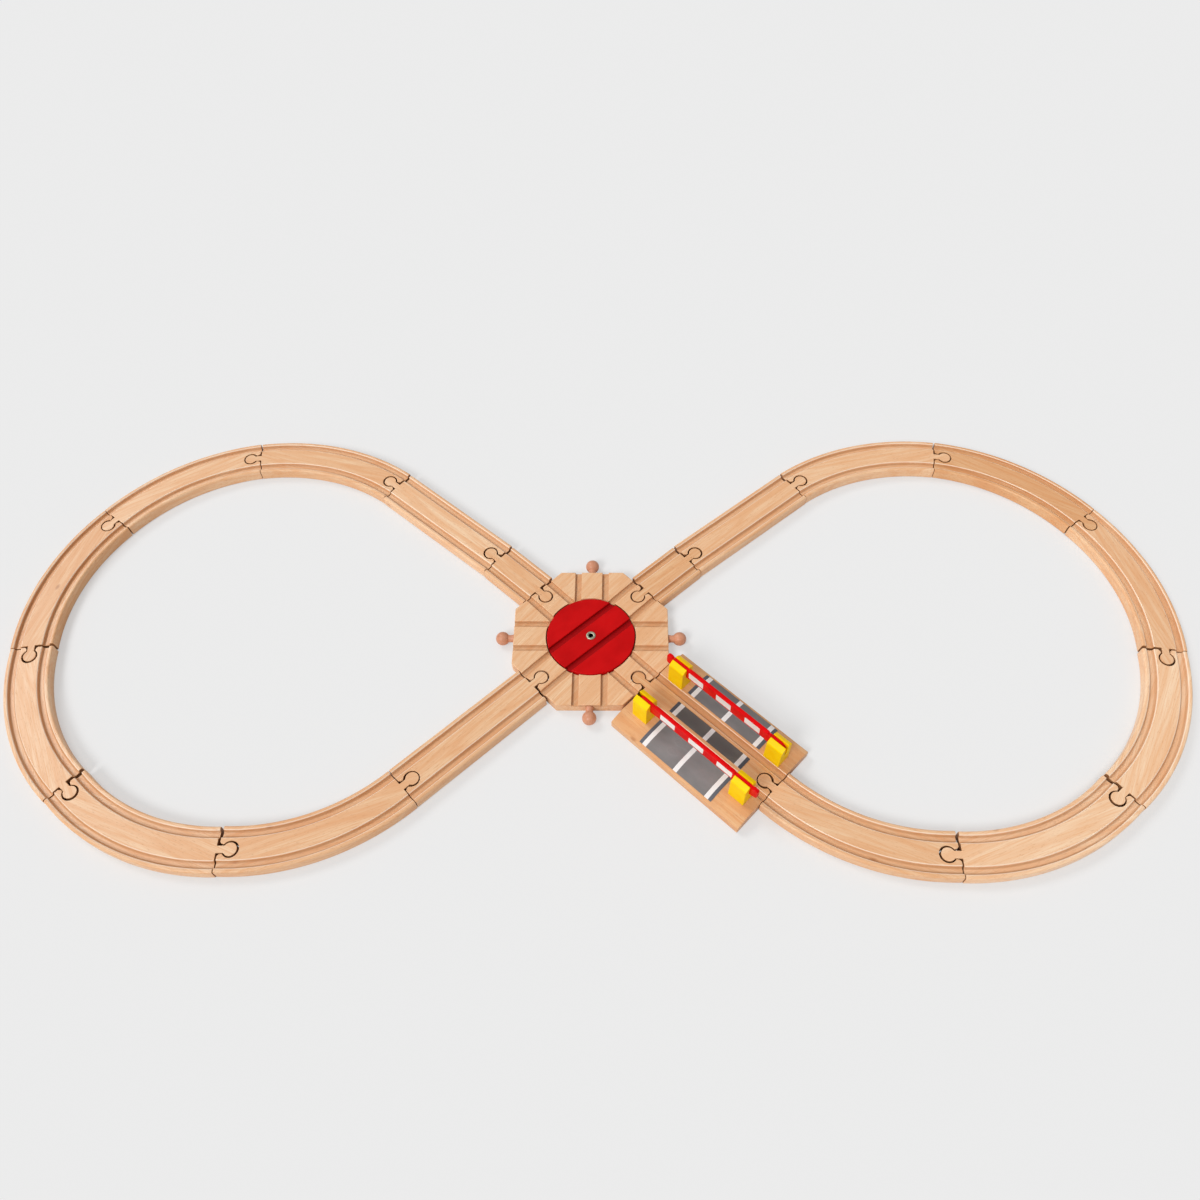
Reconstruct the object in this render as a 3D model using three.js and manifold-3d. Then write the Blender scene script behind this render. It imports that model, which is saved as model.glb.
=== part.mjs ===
// Wooden train track: a figure-eight layout of grooved beech track, with a turntable where the
// loops cross and a level crossing with two swinging barriers on the lower right arm.
// Millimetres, +Z up. The origin is on the floor, in the middle of the layout's footprint.

import * as THREE from 'three';
import { mergeVertices } from 'three/addons/utils/BufferGeometryUtils.js';
import Module from 'manifold-3d';

const wasm = await Module();
wasm.setup();

// Track section, the same on both faces so that a curve can be turned over
const TRACK_WIDTH = 40;
const TRACK_HEIGHT = 12;
const DECK_WIDTH = 20;
const GROOVE_WIDTH = 6;
const GROOVE_DEPTH = 3;
const RAIL_EDGE = 1.5;

// Lengths of the track pieces, face to face, and the curve's radius to the middle of the deck
const STRAIGHT_LENGTH = 144;
const SHORT_LENGTH = 54;
const CURVE_RADIUS = 202;
const CURVES_PER_LOOP = 6;
const CURVE_STEPS = 7;

// Puzzle peg and the socket that takes it
const PEG_REACH = 11;
const PEG_HEAD = 11.8;
const PEG_NECK = 6.6;
const PEG_PLAY = 0.5;
const END_GAP = 0.4;
const SOCKET_SHOULDER = 1.4;
const ROOT_OVERLAP = 3;

// Turntable
const TURNTABLE_WIDTH = 144;
const TURNTABLE_SIDES = 8;
const TURNTABLE_EDGE = 0.8;
const DISC_DIAMETER = 82.5;
const DISC_THICKNESS = 6.5;
const DISC_EDGE = 0.6;
const DISC_GAP = 0.6;
const DISC_FLOAT = 0.4;
const DISC_TURN = THREE.MathUtils.degToRad(42);
const BALL_DIAMETER = 12.8;
const BALL_NECK = 7;
const BALL_REACH = 10.5;
const BALL_HEIGHT = 6.5;
const TENON_DEPTH = 14;
const TENON_CHAMFER = 0.8;

// Rivet: solid flat head below, tubular end rolled over on top
const RIVET_HEAD = 11;
const RIVET_SHANK = 6;
const RIVET_BORE = 4.1;
const RIVET_BORE_DEPTH = 7;
const RIVET_FLANGE = 9;
const RIVET_LIP = 0.8;
const RIVET_RECESS = 0.6;

// Level crossing: plate, ramps and road
const PLATE_WIDTH = 96;
const PLATE_SIDE = 8.7;
const PLATE_EDGE = 1.5;
const RAMP_START = 30.5;
const RAMP_STEPS = 5;
const ROAD_WIDTH = 81;
const ROAD_INSET = 2.5;
const CENTRE_ROAD_INSET = 3.5;
const DECAL_THICKNESS = 0.25;

// Barrier posts and arms
const POST_LENGTH = 16;
const POST_WIDTH = 14;
const POST_HEIGHT = 29;
const POST_SHOULDER = 3;
const POST_RIM = 0.8;
const POST_ROUND = 0.8;
const POST_END_DISTANCE = 17.5;
const POST_OFFSET = 23.5;
const SLOT_WIDTH = 3.6;
const SPIGOT_DIAMETER = 6;
const SPIGOT_DEPTH = 7;
const PIVOT_DROP = 7;
const TAIL_RADIUS = 6.3;
const TONGUE_THICKNESS = 3;
const TRUNNION_DIAMETER = 4;
const TRUNNION_REACH = 0.9;
const BLADE_THICKNESS = 3.6;
const BLADE_BELOW_PIVOT = 5;
const BLADE_ABOVE_PIVOT = 7.5;
const BLADE_EDGE = 0.8;
const TIP_LENGTH = 6.5;

// Clearances
const SEAT_GAP = 0.1;
const BORE_GAP = 0.2;
const REST_GAP = 0.3;
const SWING_GAP = 0.8;
const CUT_PAST = 2;
const WELD = 1e-4;

// Colours of the materials
const BEECH = finish(0xd9a271, 0.45, 0);
const PINK_BEECH = finish(0xd59a72, 0.4, 0);
const RED_PAINT = finish(0xc60f12, 0.35, 0);
const RIVET_METAL = finish(0xb9aa86, 0.3, 1);
const GREY_DECAL = finish(0x76787a, 0.55, 0);
const YELLOW_PLASTIC = finish(0xf7c800, 0.35, 0);
const RED_PLASTIC = finish(0xd00a12, 0.3, 0);

function finish(color, roughness, metalness) {
  return new THREE.MeshStandardMaterial({ color, roughness, metalness, flatShading: true });
}

// Solids: closed shapes in, joined and cut shapes out

function solid(geometry) {
  const bare = geometry.clone();
  bare.deleteAttribute('normal');
  bare.deleteAttribute('uv');
  const welded = mergeVertices(bare, WELD);
  return new wasm.Manifold(new wasm.Mesh({
    numProp: 3,
    vertProperties: welded.attributes.position.array,
    triVerts: new Uint32Array(welded.index.array),
  }));
}

function geometryOf(body) {
  const { vertProperties, triVerts } = body.getMesh();
  const geometry = new THREE.BufferGeometry();
  geometry.setAttribute('position', new THREE.BufferAttribute(vertProperties, 3));
  geometry.setIndex(new THREE.BufferAttribute(triVerts, 1));
  return geometry;
}

function cutAll(body, tools) {
  return tools.reduce((rest, tool) => rest.subtract(solid(tool)), body);
}

function joinAll(body, additions) {
  return additions.reduce((whole, addition) => whole.add(solid(addition)), body);
}

function piece(name, geometry, material) {
  const mesh = new THREE.Mesh(geometry, material);
  mesh.name = name;
  return mesh;
}

// Profiles, drawn across the piece (y to the left, z up), and their sweeps along x

function arcPoints(y, z, radius, from, to, steps) {
  return Array.from({ length: steps + 1 }, (_, i) => {
    const angle = from + ((to - from) * i) / steps;
    return [y + radius * Math.cos(angle), z + radius * Math.sin(angle)];
  });
}

function bothSides(half) {
  const mirrored = half.map(([y, z]) => [-y, z]).reverse();
  return [...half, ...mirrored];
}

function profileShape(points) {
  return new THREE.Shape(points.map(([y, z]) => new THREE.Vector2(y, z)));
}

function extrudeAlongX(points, length) {
  const geometry = new THREE.ExtrudeGeometry(profileShape(points), { depth: length, bevelEnabled: false });
  return turnToX(geometry);
}

function turnToX(geometry) {
  const basis = new THREE.Matrix4().makeBasis(
    new THREE.Vector3(0, 1, 0),
    new THREE.Vector3(0, 0, 1),
    new THREE.Vector3(1, 0, 0),
  );
  return geometry.applyMatrix4(basis);
}

class TrackArc extends THREE.Curve {
  constructor(radius, angle) {
    super();
    this.radius = radius;
    this.angle = angle;
  }

  getPoint(t, target = new THREE.Vector3()) {
    const turn = this.angle * t;
    return target.set(this.radius * Math.sin(turn), this.radius * (1 - Math.cos(turn)), 0);
  }

  getTangent(t, target = new THREE.Vector3()) {
    const turn = this.angle * t;
    return target.set(Math.cos(turn), Math.sin(turn), 0);
  }
}

function sweepAlongArc(points, radius, angle, steps) {
  // A path in the floor plane carries the profile's x downwards and its y to the left
  const shape = new THREE.Shape(points.map(([y, z]) => new THREE.Vector2(-z, y)));
  return new THREE.ExtrudeGeometry(shape, { steps, extrudePath: new TrackArc(radius, angle) });
}

function upright(outline, bottom, top, curveSegments) {
  const geometry = new THREE.ExtrudeGeometry(outline, {
    depth: top - bottom,
    bevelEnabled: false,
    curveSegments,
  });
  return geometry.translate(0, 0, bottom);
}

function rodAlongZ(diameter, bottom, top, sides) {
  const geometry = new THREE.CylinderGeometry(diameter / 2, diameter / 2, top - bottom, sides);
  return geometry.rotateX(Math.PI / 2).translate(0, 0, (bottom + top) / 2);
}

function rodAlongY(diameter, length, sides) {
  return new THREE.CylinderGeometry(diameter / 2, diameter / 2, length, sides);
}

function turned(profile, sides) {
  const points = profile.map(([radius, height]) => new THREE.Vector2(radius, height));
  return new THREE.LatheGeometry(points, sides).rotateX(Math.PI / 2);
}

// Track section

const GROOVE_INNER = DECK_WIDTH / 2;
const GROOVE_OUTER = GROOVE_INNER + GROOVE_WIDTH;
const GROOVE_MIDDLE = GROOVE_INNER + GROOVE_WIDTH / 2;

function grooveFromDeck(face, into) {
  // From the deck outwards: wall, floor, wall. "into" points from the face into the wood
  return [
    [GROOVE_INNER, face],
    [GROOVE_INNER, face + into * GROOVE_DEPTH],
    [GROOVE_OUTER, face + into * GROOVE_DEPTH],
    [GROOVE_OUTER, face],
  ];
}

function trackSection() {
  const rail = TRACK_WIDTH / 2 - RAIL_EDGE;
  const half = [
    ...grooveFromDeck(0, 1),
    ...arcPoints(rail, RAIL_EDGE, RAIL_EDGE, -Math.PI / 2, 0, 2),
    ...arcPoints(rail, TRACK_HEIGHT - RAIL_EDGE, RAIL_EDGE, 0, Math.PI / 2, 2),
    ...grooveFromDeck(TRACK_HEIGHT, -1).reverse(),
  ];
  return bothSides(half);
}

// Layout. Each loop leaves the turntable on an upper arm and comes back on the lower one. The piece
// lengths don't close it exactly, so each joint swings a little about its peg head: the smallest
// swings that close the loop are found here, and the sockets are cut wide enough to take them.

const LOOP_TURN = 1.5 * Math.PI;
const CURVE_ANGLE = LOOP_TURN / CURVES_PER_LOOP;
const ARM_OUT = 0.75 * Math.PI;
const TURNTABLE_REACH = TURNTABLE_WIDTH / 2;
const TURNTABLE_HALF_SIDE = TURNTABLE_REACH * Math.tan(Math.PI / TURNTABLE_SIDES);
const LOOP_PIECES = ['short', 'straight', ...Array(CURVES_PER_LOOP).fill('curve'), 'straight'];
const JOINTS_PER_LOOP = LOOP_PIECES.length + 1;
const SOLVER_PASSES = 60;
const SOLVER_NUDGE = 1e-6;

function ahead({ x, y, heading }, distance) {
  return { x: x + distance * Math.cos(heading), y: y + distance * Math.sin(heading), heading };
}

function endGap(swing, halfWidth) {
  return END_GAP + halfWidth * Math.abs(Math.sin(swing)) + PEG_REACH * (1 - Math.cos(swing));
}

function nextFace(end, swing, halfWidth, pegOnNext) {
  // The peg head is the pivot: PEG_REACH past the face of its own piece, less the gap from the other
  const inSocket = PEG_REACH - endGap(swing, halfWidth);
  const pivot = ahead(end, pegOnNext ? -inSocket : PEG_REACH);
  const swung = { ...pivot, heading: pivot.heading + swing };
  return ahead(swung, pegOnNext ? PEG_REACH : -inSocket);
}

function endOf(kind, start) {
  if (kind === 'short') return ahead(start, SHORT_LENGTH);
  if (kind === 'straight') return ahead(start, STRAIGHT_LENGTH);
  const chord = ahead({ ...start, heading: start.heading + CURVE_ANGLE / 2 },
    2 * CURVE_RADIUS * Math.sin(CURVE_ANGLE / 2));
  return { ...chord, heading: start.heading + CURVE_ANGLE };
}

function layLoop(swings) {
  const starts = [];
  let face = ahead({ x: 0, y: 0, heading: ARM_OUT }, TURNTABLE_REACH);
  LOOP_PIECES.forEach((kind, i) => {
    const start = nextFace(face, swings[i], TRACK_WIDTH / 2, kind === 'short');
    starts.push(start);
    face = endOf(kind, start);
  });
  const home = nextFace(face, swings[LOOP_PIECES.length], TURNTABLE_HALF_SIDE, false);
  return { starts, home };
}

function closingError(swings) {
  const { home } = layLoop(swings);
  const wanted = ahead({ x: 0, y: 0, heading: ARM_OUT + LOOP_TURN }, -TURNTABLE_REACH);
  return new THREE.Vector3(home.x - wanted.x, home.y - wanted.y, home.heading - wanted.heading);
}

function smallestSwings() {
  let swings = Array(JOINTS_PER_LOOP).fill(0);
  for (let pass = 0; pass < SOLVER_PASSES; pass += 1) {
    const error = closingError(swings);
    const slopes = swings.map((_, i) => {
      const nudged = swings.map((swing, j) => swing + (i === j ? SOLVER_NUDGE : 0));
      return closingError(nudged).sub(error).divideScalar(SOLVER_NUDGE);
    });
    swings = leastNorm(slopes, swings, error);
  }
  return swings;
}

function leastNorm(slopes, swings, error) {
  // The shortest swings s with slopes . s = slopes . swings - error
  const target = error.clone().negate();
  slopes.forEach((slope, i) => target.addScaledVector(slope, swings[i]));
  const sum = (a, b) => slopes.reduce((total, slope) => total + slope[a] * slope[b], 0);
  const normal = new THREE.Matrix3().set(
    sum('x', 'x'), sum('x', 'y'), sum('x', 'z'),
    sum('y', 'x'), sum('y', 'y'), sum('y', 'z'),
    sum('z', 'x'), sum('z', 'y'), sum('z', 'z'),
  );
  const weights = target.applyMatrix3(normal.invert());
  return slopes.map((slope) => slope.dot(weights));
}

const SWINGS = smallestSwings();
const LOOP = layLoop(SWINGS);
const WIDEST_SWING = Math.max(...SWINGS.map(Math.abs));
const WIDEST_GAP = Math.max(
  endGap(WIDEST_SWING, TRACK_WIDTH / 2),
  endGap(SWINGS[JOINTS_PER_LOOP - 1], TURNTABLE_HALF_SIDE),
);

// Pegs and sockets

const PEG_SEGMENTS = 9;

function pegOutline() {
  const neck = PEG_NECK / 2;
  const head = PEG_HEAD / 2;
  const lean = Math.asin(neck / head);
  const outline = new THREE.Shape();
  outline.moveTo(-ROOT_OVERLAP, -neck);
  outline.absarc(PEG_REACH, 0, head, lean - Math.PI, Math.PI - lean, false);
  outline.lineTo(-ROOT_OVERLAP, neck);
  return outline;
}

function socketOutline() {
  // The head may sit anywhere from a closed joint to the widest gap, and the neck may swing
  const travel = WIDEST_GAP - END_GAP;
  const middle = PEG_REACH - END_GAP - travel / 2;
  const radius = PEG_HEAD / 2 + PEG_PLAY + travel / 2;
  const throat = PEG_NECK / 2 + PEG_PLAY;
  const lean = Math.asin(throat / radius);
  const throatX = middle - radius * Math.cos(lean);
  const flare = Math.tan(WIDEST_SWING);
  const mouth = throat + PEG_REACH * flare;
  const outline = new THREE.Shape();
  outline.moveTo(-CUT_PAST, -mouth - SOCKET_SHOULDER);
  outline.lineTo(0, -mouth - SOCKET_SHOULDER);
  outline.lineTo(SOCKET_SHOULDER, -mouth + SOCKET_SHOULDER * flare);
  outline.lineTo(throatX, -throat);
  outline.absarc(middle, 0, radius, lean - Math.PI, Math.PI - lean, false);
  outline.lineTo(SOCKET_SHOULDER, mouth - SOCKET_SHOULDER * flare);
  outline.lineTo(0, mouth + SOCKET_SHOULDER);
  outline.lineTo(-CUT_PAST, mouth + SOCKET_SHOULDER);
  return outline;
}

function pegAt({ x, y, heading }) {
  const peg = upright(pegOutline(), 0, TRACK_HEIGHT, PEG_SEGMENTS);
  return peg.rotateZ(heading).translate(x, y, 0);
}

function socketAt({ x, y, heading }) {
  const tool = upright(socketOutline(), -CUT_PAST, TRACK_HEIGHT + CUT_PAST, PEG_SEGMENTS);
  return tool.rotateZ(heading).translate(x, y, 0);
}

const AT_START = { x: 0, y: 0, heading: 0 };

function straightTrack(length) {
  const bar = solid(extrudeAlongX(trackSection(), length));
  return geometryOf(joinAll(cutAll(bar, [socketAt(AT_START)]), [pegAt({ x: length, y: 0, heading: 0 })]));
}

function shortTrack() {
  const bar = solid(extrudeAlongX(trackSection(), SHORT_LENGTH));
  const pegs = [pegAt({ x: SHORT_LENGTH, y: 0, heading: 0 }), pegAt({ x: 0, y: 0, heading: Math.PI })];
  return geometryOf(joinAll(bar, pegs));
}

function curvedTrack() {
  const bend = solid(sweepAlongArc(trackSection(), CURVE_RADIUS, CURVE_ANGLE, CURVE_STEPS));
  return geometryOf(joinAll(cutAll(bend, [socketAt(AT_START)]), [pegAt(endOf('curve', AT_START))]));
}

// Turntable: base, ball pegs, disc and rivet

const DISC_SIDES = 44;
const BALL_SIDES = 14;
const BORE_SIDES = 16;
const RIVET_SIDES = 20;
const RIVET_BORE_SIDES = 24;
const SPOKE_PITCH = (2 * Math.PI) / TURNTABLE_SIDES;
const DISC_BOTTOM = TRACK_HEIGHT - DISC_THICKNESS;
const RECESS_FLOOR = DISC_BOTTOM - DISC_FLOAT;
const RECESS_DIAMETER = DISC_DIAMETER + 2 * DISC_GAP;
const HEAD_TOP = RIVET_RECESS + RIVET_LIP;

function grooveTool(length) {
  const half = [
    [GROOVE_WIDTH / 2, TRACK_HEIGHT - GROOVE_DEPTH],
    [GROOVE_WIDTH / 2, TRACK_HEIGHT + CUT_PAST],
  ];
  return extrudeAlongX(bothSides(half), length);
}

function spokeGrooves(spoke) {
  const start = RECESS_DIAMETER / 2 - CUT_PAST - GROOVE_OUTER;
  const length = TURNTABLE_REACH + CUT_PAST - start;
  return [-GROOVE_MIDDLE, GROOVE_MIDDLE].map((side) => {
    return grooveTool(length).translate(start, side, 0).rotateZ(spoke * SPOKE_PITCH);
  });
}

function octagon() {
  const corner = TURNTABLE_REACH / Math.cos(Math.PI / TURNTABLE_SIDES);
  const outline = new THREE.Shape(Array.from({ length: TURNTABLE_SIDES }, (_, i) => {
    const angle = (i + 0.5) * SPOKE_PITCH;
    return new THREE.Vector2(corner * Math.cos(angle), corner * Math.sin(angle));
  }));
  const plate = new THREE.ExtrudeGeometry(outline, {
    depth: TRACK_HEIGHT - 2 * TURNTABLE_EDGE,
    bevelThickness: TURNTABLE_EDGE,
    bevelSize: TURNTABLE_EDGE,
    bevelOffset: -TURNTABLE_EDGE,
    bevelSegments: 1,
  });
  return plate.translate(0, 0, TURNTABLE_EDGE);
}

function tenonBore(heading) {
  const bore = rodAlongZ(BALL_NECK + 2 * BORE_GAP, -CUT_PAST, TENON_DEPTH + SEAT_GAP, BORE_SIDES);
  return bore.rotateY(-Math.PI / 2).translate(TURNTABLE_REACH, 0, BALL_HEIGHT).rotateZ(heading);
}

function turntableBase() {
  const spokes = Array.from({ length: TURNTABLE_SIDES }, (_, i) => i);
  const sockets = spokes.filter((spoke) => spoke % 2 === 1).map((spoke) => {
    const inwards = spoke * SPOKE_PITCH + Math.PI;
    return socketAt(ahead({ x: 0, y: 0, heading: inwards }, -TURNTABLE_REACH));
  });
  const bores = spokes.filter((spoke) => spoke % 2 === 0).map((spoke) => tenonBore(spoke * SPOKE_PITCH));
  return geometryOf(cutAll(solid(octagon()), [
    rodAlongZ(RECESS_DIAMETER, RECESS_FLOOR, TRACK_HEIGHT + CUT_PAST, DISC_SIDES),
    ...spokes.flatMap(spokeGrooves),
    ...sockets,
    ...bores,
    rodAlongZ(RIVET_SHANK + 2 * BORE_GAP, -CUT_PAST, TRACK_HEIGHT, RIVET_BORE_SIDES),
    rodAlongZ(RIVET_HEAD + 2 * BORE_GAP, -CUT_PAST, HEAD_TOP + SEAT_GAP, RIVET_BORE_SIDES),
  ]));
}

function ballPeg() {
  // Turned about its own length: tenon, neck and ball, from the tenon's end outwards
  const neck = BALL_NECK / 2;
  const ball = BALL_DIAMETER / 2;
  const lean = Math.asin(neck / ball);
  const profile = [
    [0, -TENON_DEPTH],
    [neck - TENON_CHAMFER, -TENON_DEPTH],
    [neck, TENON_CHAMFER - TENON_DEPTH],
    ...arcPoints(0, BALL_REACH, ball, lean - Math.PI / 2, Math.PI / 2, 6).slice(0, -1),
    [0, BALL_REACH + ball],
  ];
  return turned(profile, BALL_SIDES).rotateY(Math.PI / 2).translate(TURNTABLE_REACH, 0, BALL_HEIGHT);
}

function turntableDisc() {
  const rim = DISC_DIAMETER / 2;
  const hole = RIVET_SHANK / 2 + BORE_GAP;
  const profile = [
    [hole, DISC_BOTTOM],
    [rim - DISC_EDGE, DISC_BOTTOM],
    [rim, DISC_BOTTOM + DISC_EDGE],
    [rim, TRACK_HEIGHT - DISC_EDGE],
    [rim - DISC_EDGE, TRACK_HEIGHT],
    [hole, TRACK_HEIGHT],
    [hole, DISC_BOTTOM],
  ];
  const grooves = [-GROOVE_MIDDLE, GROOVE_MIDDLE].map((side) => {
    return grooveTool(DISC_DIAMETER + 2 * CUT_PAST).translate(-rim - CUT_PAST, side, 0);
  });
  return geometryOf(cutAll(solid(turned(profile, DISC_SIDES)), grooves));
}

function centreRivet() {
  const head = RIVET_HEAD / 2;
  const shank = RIVET_SHANK / 2;
  const bore = RIVET_BORE / 2;
  const flange = RIVET_FLANGE / 2;
  const seat = TRACK_HEIGHT + BORE_GAP;
  const crown = seat + RIVET_LIP;
  return turned([
    [0, RIVET_RECESS],
    [head, RIVET_RECESS],
    [head, HEAD_TOP],
    [shank, HEAD_TOP],
    [shank, seat],
    [flange, seat],
    [flange - RIVET_LIP / 2, crown - RIVET_LIP / 4],
    [(flange + bore) / 2, crown],
    [bore + RIVET_LIP / 4, crown - RIVET_LIP / 4],
    [bore, seat],
    [bore, crown - RIVET_BORE_DEPTH],
    [0, crown - RIVET_BORE_DEPTH],
  ], RIVET_SIDES);
}

function turntable() {
  const group = new THREE.Group();
  group.add(piece('turntable_base', turntableBase(), BEECH));
  ['east', 'north', 'west', 'south'].forEach((side, i) => {
    const peg = piece(`turntable_peg_${side}`, ballPeg(), PINK_BEECH);
    peg.rotation.z = (i * Math.PI) / 2;
    group.add(peg);
  });
  const disc = piece('turntable_disc', turntableDisc(), RED_PAINT);
  disc.rotation.z = DISC_TURN;
  group.add(disc);
  group.add(piece('turntable_rivet', centreRivet(), RIVET_METAL));
  return group;
}

// Level crossing, from its socket end along x to its peg end

const RAMP_END = PLATE_WIDTH / 2 - PLATE_EDGE;
const RAMP_RUN = RAMP_END - RAMP_START;
const RAMP_DROP = TRACK_HEIGHT - PLATE_SIDE;
const RAMP_RADIUS = (RAMP_RUN ** 2 + RAMP_DROP ** 2) / (2 * RAMP_DROP);
const ROAD_START = (STRAIGHT_LENGTH - ROAD_WIDTH) / 2;
const SPIGOT_BORE_DEPTH = SPIGOT_DEPTH + BORE_GAP;
const FAR_POST = STRAIGHT_LENGTH - POST_END_DISTANCE;
const POST_SPAN = FAR_POST - POST_END_DISTANCE;
const POSTS = [
  { name: 'front_right', x: POST_END_DISTANCE, y: POST_OFFSET },
  { name: 'front_left', x: FAR_POST, y: POST_OFFSET },
  { name: 'back_right', x: POST_END_DISTANCE, y: -POST_OFFSET },
  { name: 'back_left', x: FAR_POST, y: -POST_OFFSET },
];

function plateTop(y) {
  const run = Math.max(0, y - RAMP_START);
  return TRACK_HEIGHT - RAMP_RADIUS + Math.sqrt(RAMP_RADIUS ** 2 - run ** 2);
}

function rampLine(from, to) {
  return Array.from({ length: RAMP_STEPS + 1 }, (_, i) => {
    const y = from + ((to - from) * i) / RAMP_STEPS;
    return [y, plateTop(y)];
  });
}

function plateSection() {
  const side = PLATE_WIDTH / 2;
  const half = [
    [side - PLATE_EDGE / 2, 0],
    [side, PLATE_EDGE / 2],
    [side, PLATE_SIDE - PLATE_EDGE],
    [side - PLATE_EDGE / 3, PLATE_SIDE - PLATE_EDGE / 3],
    ...rampLine(RAMP_END, RAMP_START),
    ...grooveFromDeck(TRACK_HEIGHT, -1).reverse(),
  ];
  return bothSides(half);
}

function crossingPlate() {
  const bar = solid(extrudeAlongX(plateSection(), STRAIGHT_LENGTH));
  const bores = POSTS.map(({ x, y }) => {
    const bore = rodAlongZ(
      SPIGOT_DIAMETER + 2 * BORE_GAP,
      TRACK_HEIGHT - SPIGOT_BORE_DEPTH,
      TRACK_HEIGHT + CUT_PAST,
      BORE_SIDES,
    );
    return bore.translate(x, y, 0);
  });
  const drilled = cutAll(bar, [socketAt(AT_START), ...bores]);
  return geometryOf(joinAll(drilled, [pegAt({ x: STRAIGHT_LENGTH, y: 0, heading: 0 })]));
}

function roadDecal(topLine) {
  const bottom = topLine.map(([y, z]) => [y, z + SEAT_GAP]);
  const top = topLine.map(([y, z]) => [y, z + SEAT_GAP + DECAL_THICKNESS]).reverse();
  return extrudeAlongX([...bottom, ...top], ROAD_WIDTH).translate(ROAD_START, 0, 0);
}

function rampDecal() {
  const inner = [GROOVE_OUTER + ROAD_INSET, TRACK_HEIGHT];
  return roadDecal([inner, ...rampLine(RAMP_START, RAMP_END - ROAD_INSET / 2)]);
}

function centreDecal() {
  const edge = GROOVE_INNER - CENTRE_ROAD_INSET;
  return roadDecal([[-edge, TRACK_HEIGHT], [edge, TRACK_HEIGHT]]);
}

// Barrier posts stand on the plate, so their own z starts at its top

const POST_BASE = TRACK_HEIGHT + SEAT_GAP;
const PIVOT_HEIGHT = POST_HEIGHT - PIVOT_DROP;
const SLOT_FLOOR = PIVOT_HEIGHT - TAIL_RADIUS - REST_GAP;

function roundedBox(left, right, bottom, top, round) {
  const outline = new THREE.Shape();
  outline.moveTo(left + round, bottom);
  outline.absarc(right - round, bottom + round, round, -Math.PI / 2, 0, false);
  outline.absarc(right - round, top - round, round, 0, Math.PI / 2, false);
  outline.absarc(left + round, top - round, round, Math.PI / 2, Math.PI, false);
  outline.absarc(left + round, bottom + round, round, Math.PI, 1.5 * Math.PI, false);
  return outline;
}

function barrierPost() {
  const half = [
    [POST_WIDTH / 2, 0],
    [POST_WIDTH / 2, POST_HEIGHT - POST_SHOULDER],
    [SLOT_WIDTH / 2 + POST_RIM, POST_HEIGHT],
    [SLOT_WIDTH / 2, POST_HEIGHT],
    [SLOT_WIDTH / 2, SLOT_FLOOR],
  ];
  const fork = extrudeAlongX(bothSides(half), POST_LENGTH).translate(-POST_LENGTH / 2, 0, 0);
  const plan = roundedBox(-POST_LENGTH / 2, POST_LENGTH / 2, -POST_WIDTH / 2, POST_WIDTH / 2, POST_ROUND);
  const rounded = solid(fork).intersect(solid(upright(plan, -CUT_PAST, POST_HEIGHT + CUT_PAST, 2)));
  const spigot = rodAlongZ(SPIGOT_DIAMETER, -SPIGOT_DEPTH, ROOT_OVERLAP, BORE_SIDES);
  const reach = SLOT_WIDTH + 2 * (TRUNNION_REACH + BORE_GAP);
  const seat = rodAlongY(TRUNNION_DIAMETER + 2 * BORE_GAP, reach, BORE_SIDES).translate(0, 0, PIVOT_HEIGHT);
  return geometryOf(joinAll(cutAll(rounded, [seat]), [spigot]));
}

// Barrier arms, from the pivot along x to the tip

const CHEEK_CORNER = Math.hypot(POST_LENGTH / 2, PIVOT_DROP);
const BLADE_START = CHEEK_CORNER + SWING_GAP;
const BLADE_END = POST_SPAN - POST_LENGTH / 2 - SWING_GAP;
const TIP_START = POST_SPAN + POST_LENGTH / 2 + SWING_GAP;
const TIP_END = TIP_START + TIP_LENGTH;

function slab(outline, thickness, edge, curveSegments) {
  const geometry = new THREE.ExtrudeGeometry(outline, {
    depth: thickness - 2 * edge,
    bevelEnabled: edge > 0,
    bevelThickness: edge,
    bevelSize: edge,
    bevelOffset: -edge,
    bevelSegments: 1,
    curveSegments,
  });
  return geometry.translate(0, 0, edge - thickness / 2).rotateX(Math.PI / 2);
}

function tongue(from, to) {
  return slab(roundedBox(from, to, -TAIL_RADIUS, TAIL_RADIUS, TAIL_RADIUS), TONGUE_THICKNESS, 0, 4);
}

function blade(from, to, round) {
  const outline = roundedBox(from, to, -BLADE_BELOW_PIVOT, BLADE_ABOVE_PIVOT, round);
  return slab(outline, BLADE_THICKNESS, BLADE_EDGE, 2);
}

function barrierArm() {
  const trunnion = rodAlongY(TRUNNION_DIAMETER, SLOT_WIDTH + 2 * TRUNNION_REACH, BORE_SIDES);
  return geometryOf(joinAll(solid(tongue(-TAIL_RADIUS, BLADE_START + TAIL_RADIUS)), [
    blade(BLADE_START, BLADE_END, 2 * BLADE_EDGE),
    tongue(BLADE_END - TAIL_RADIUS, TIP_START + TAIL_RADIUS),
    blade(TIP_START, TIP_END, TIP_LENGTH / 2),
    trunnion,
  ]));
}

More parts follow.
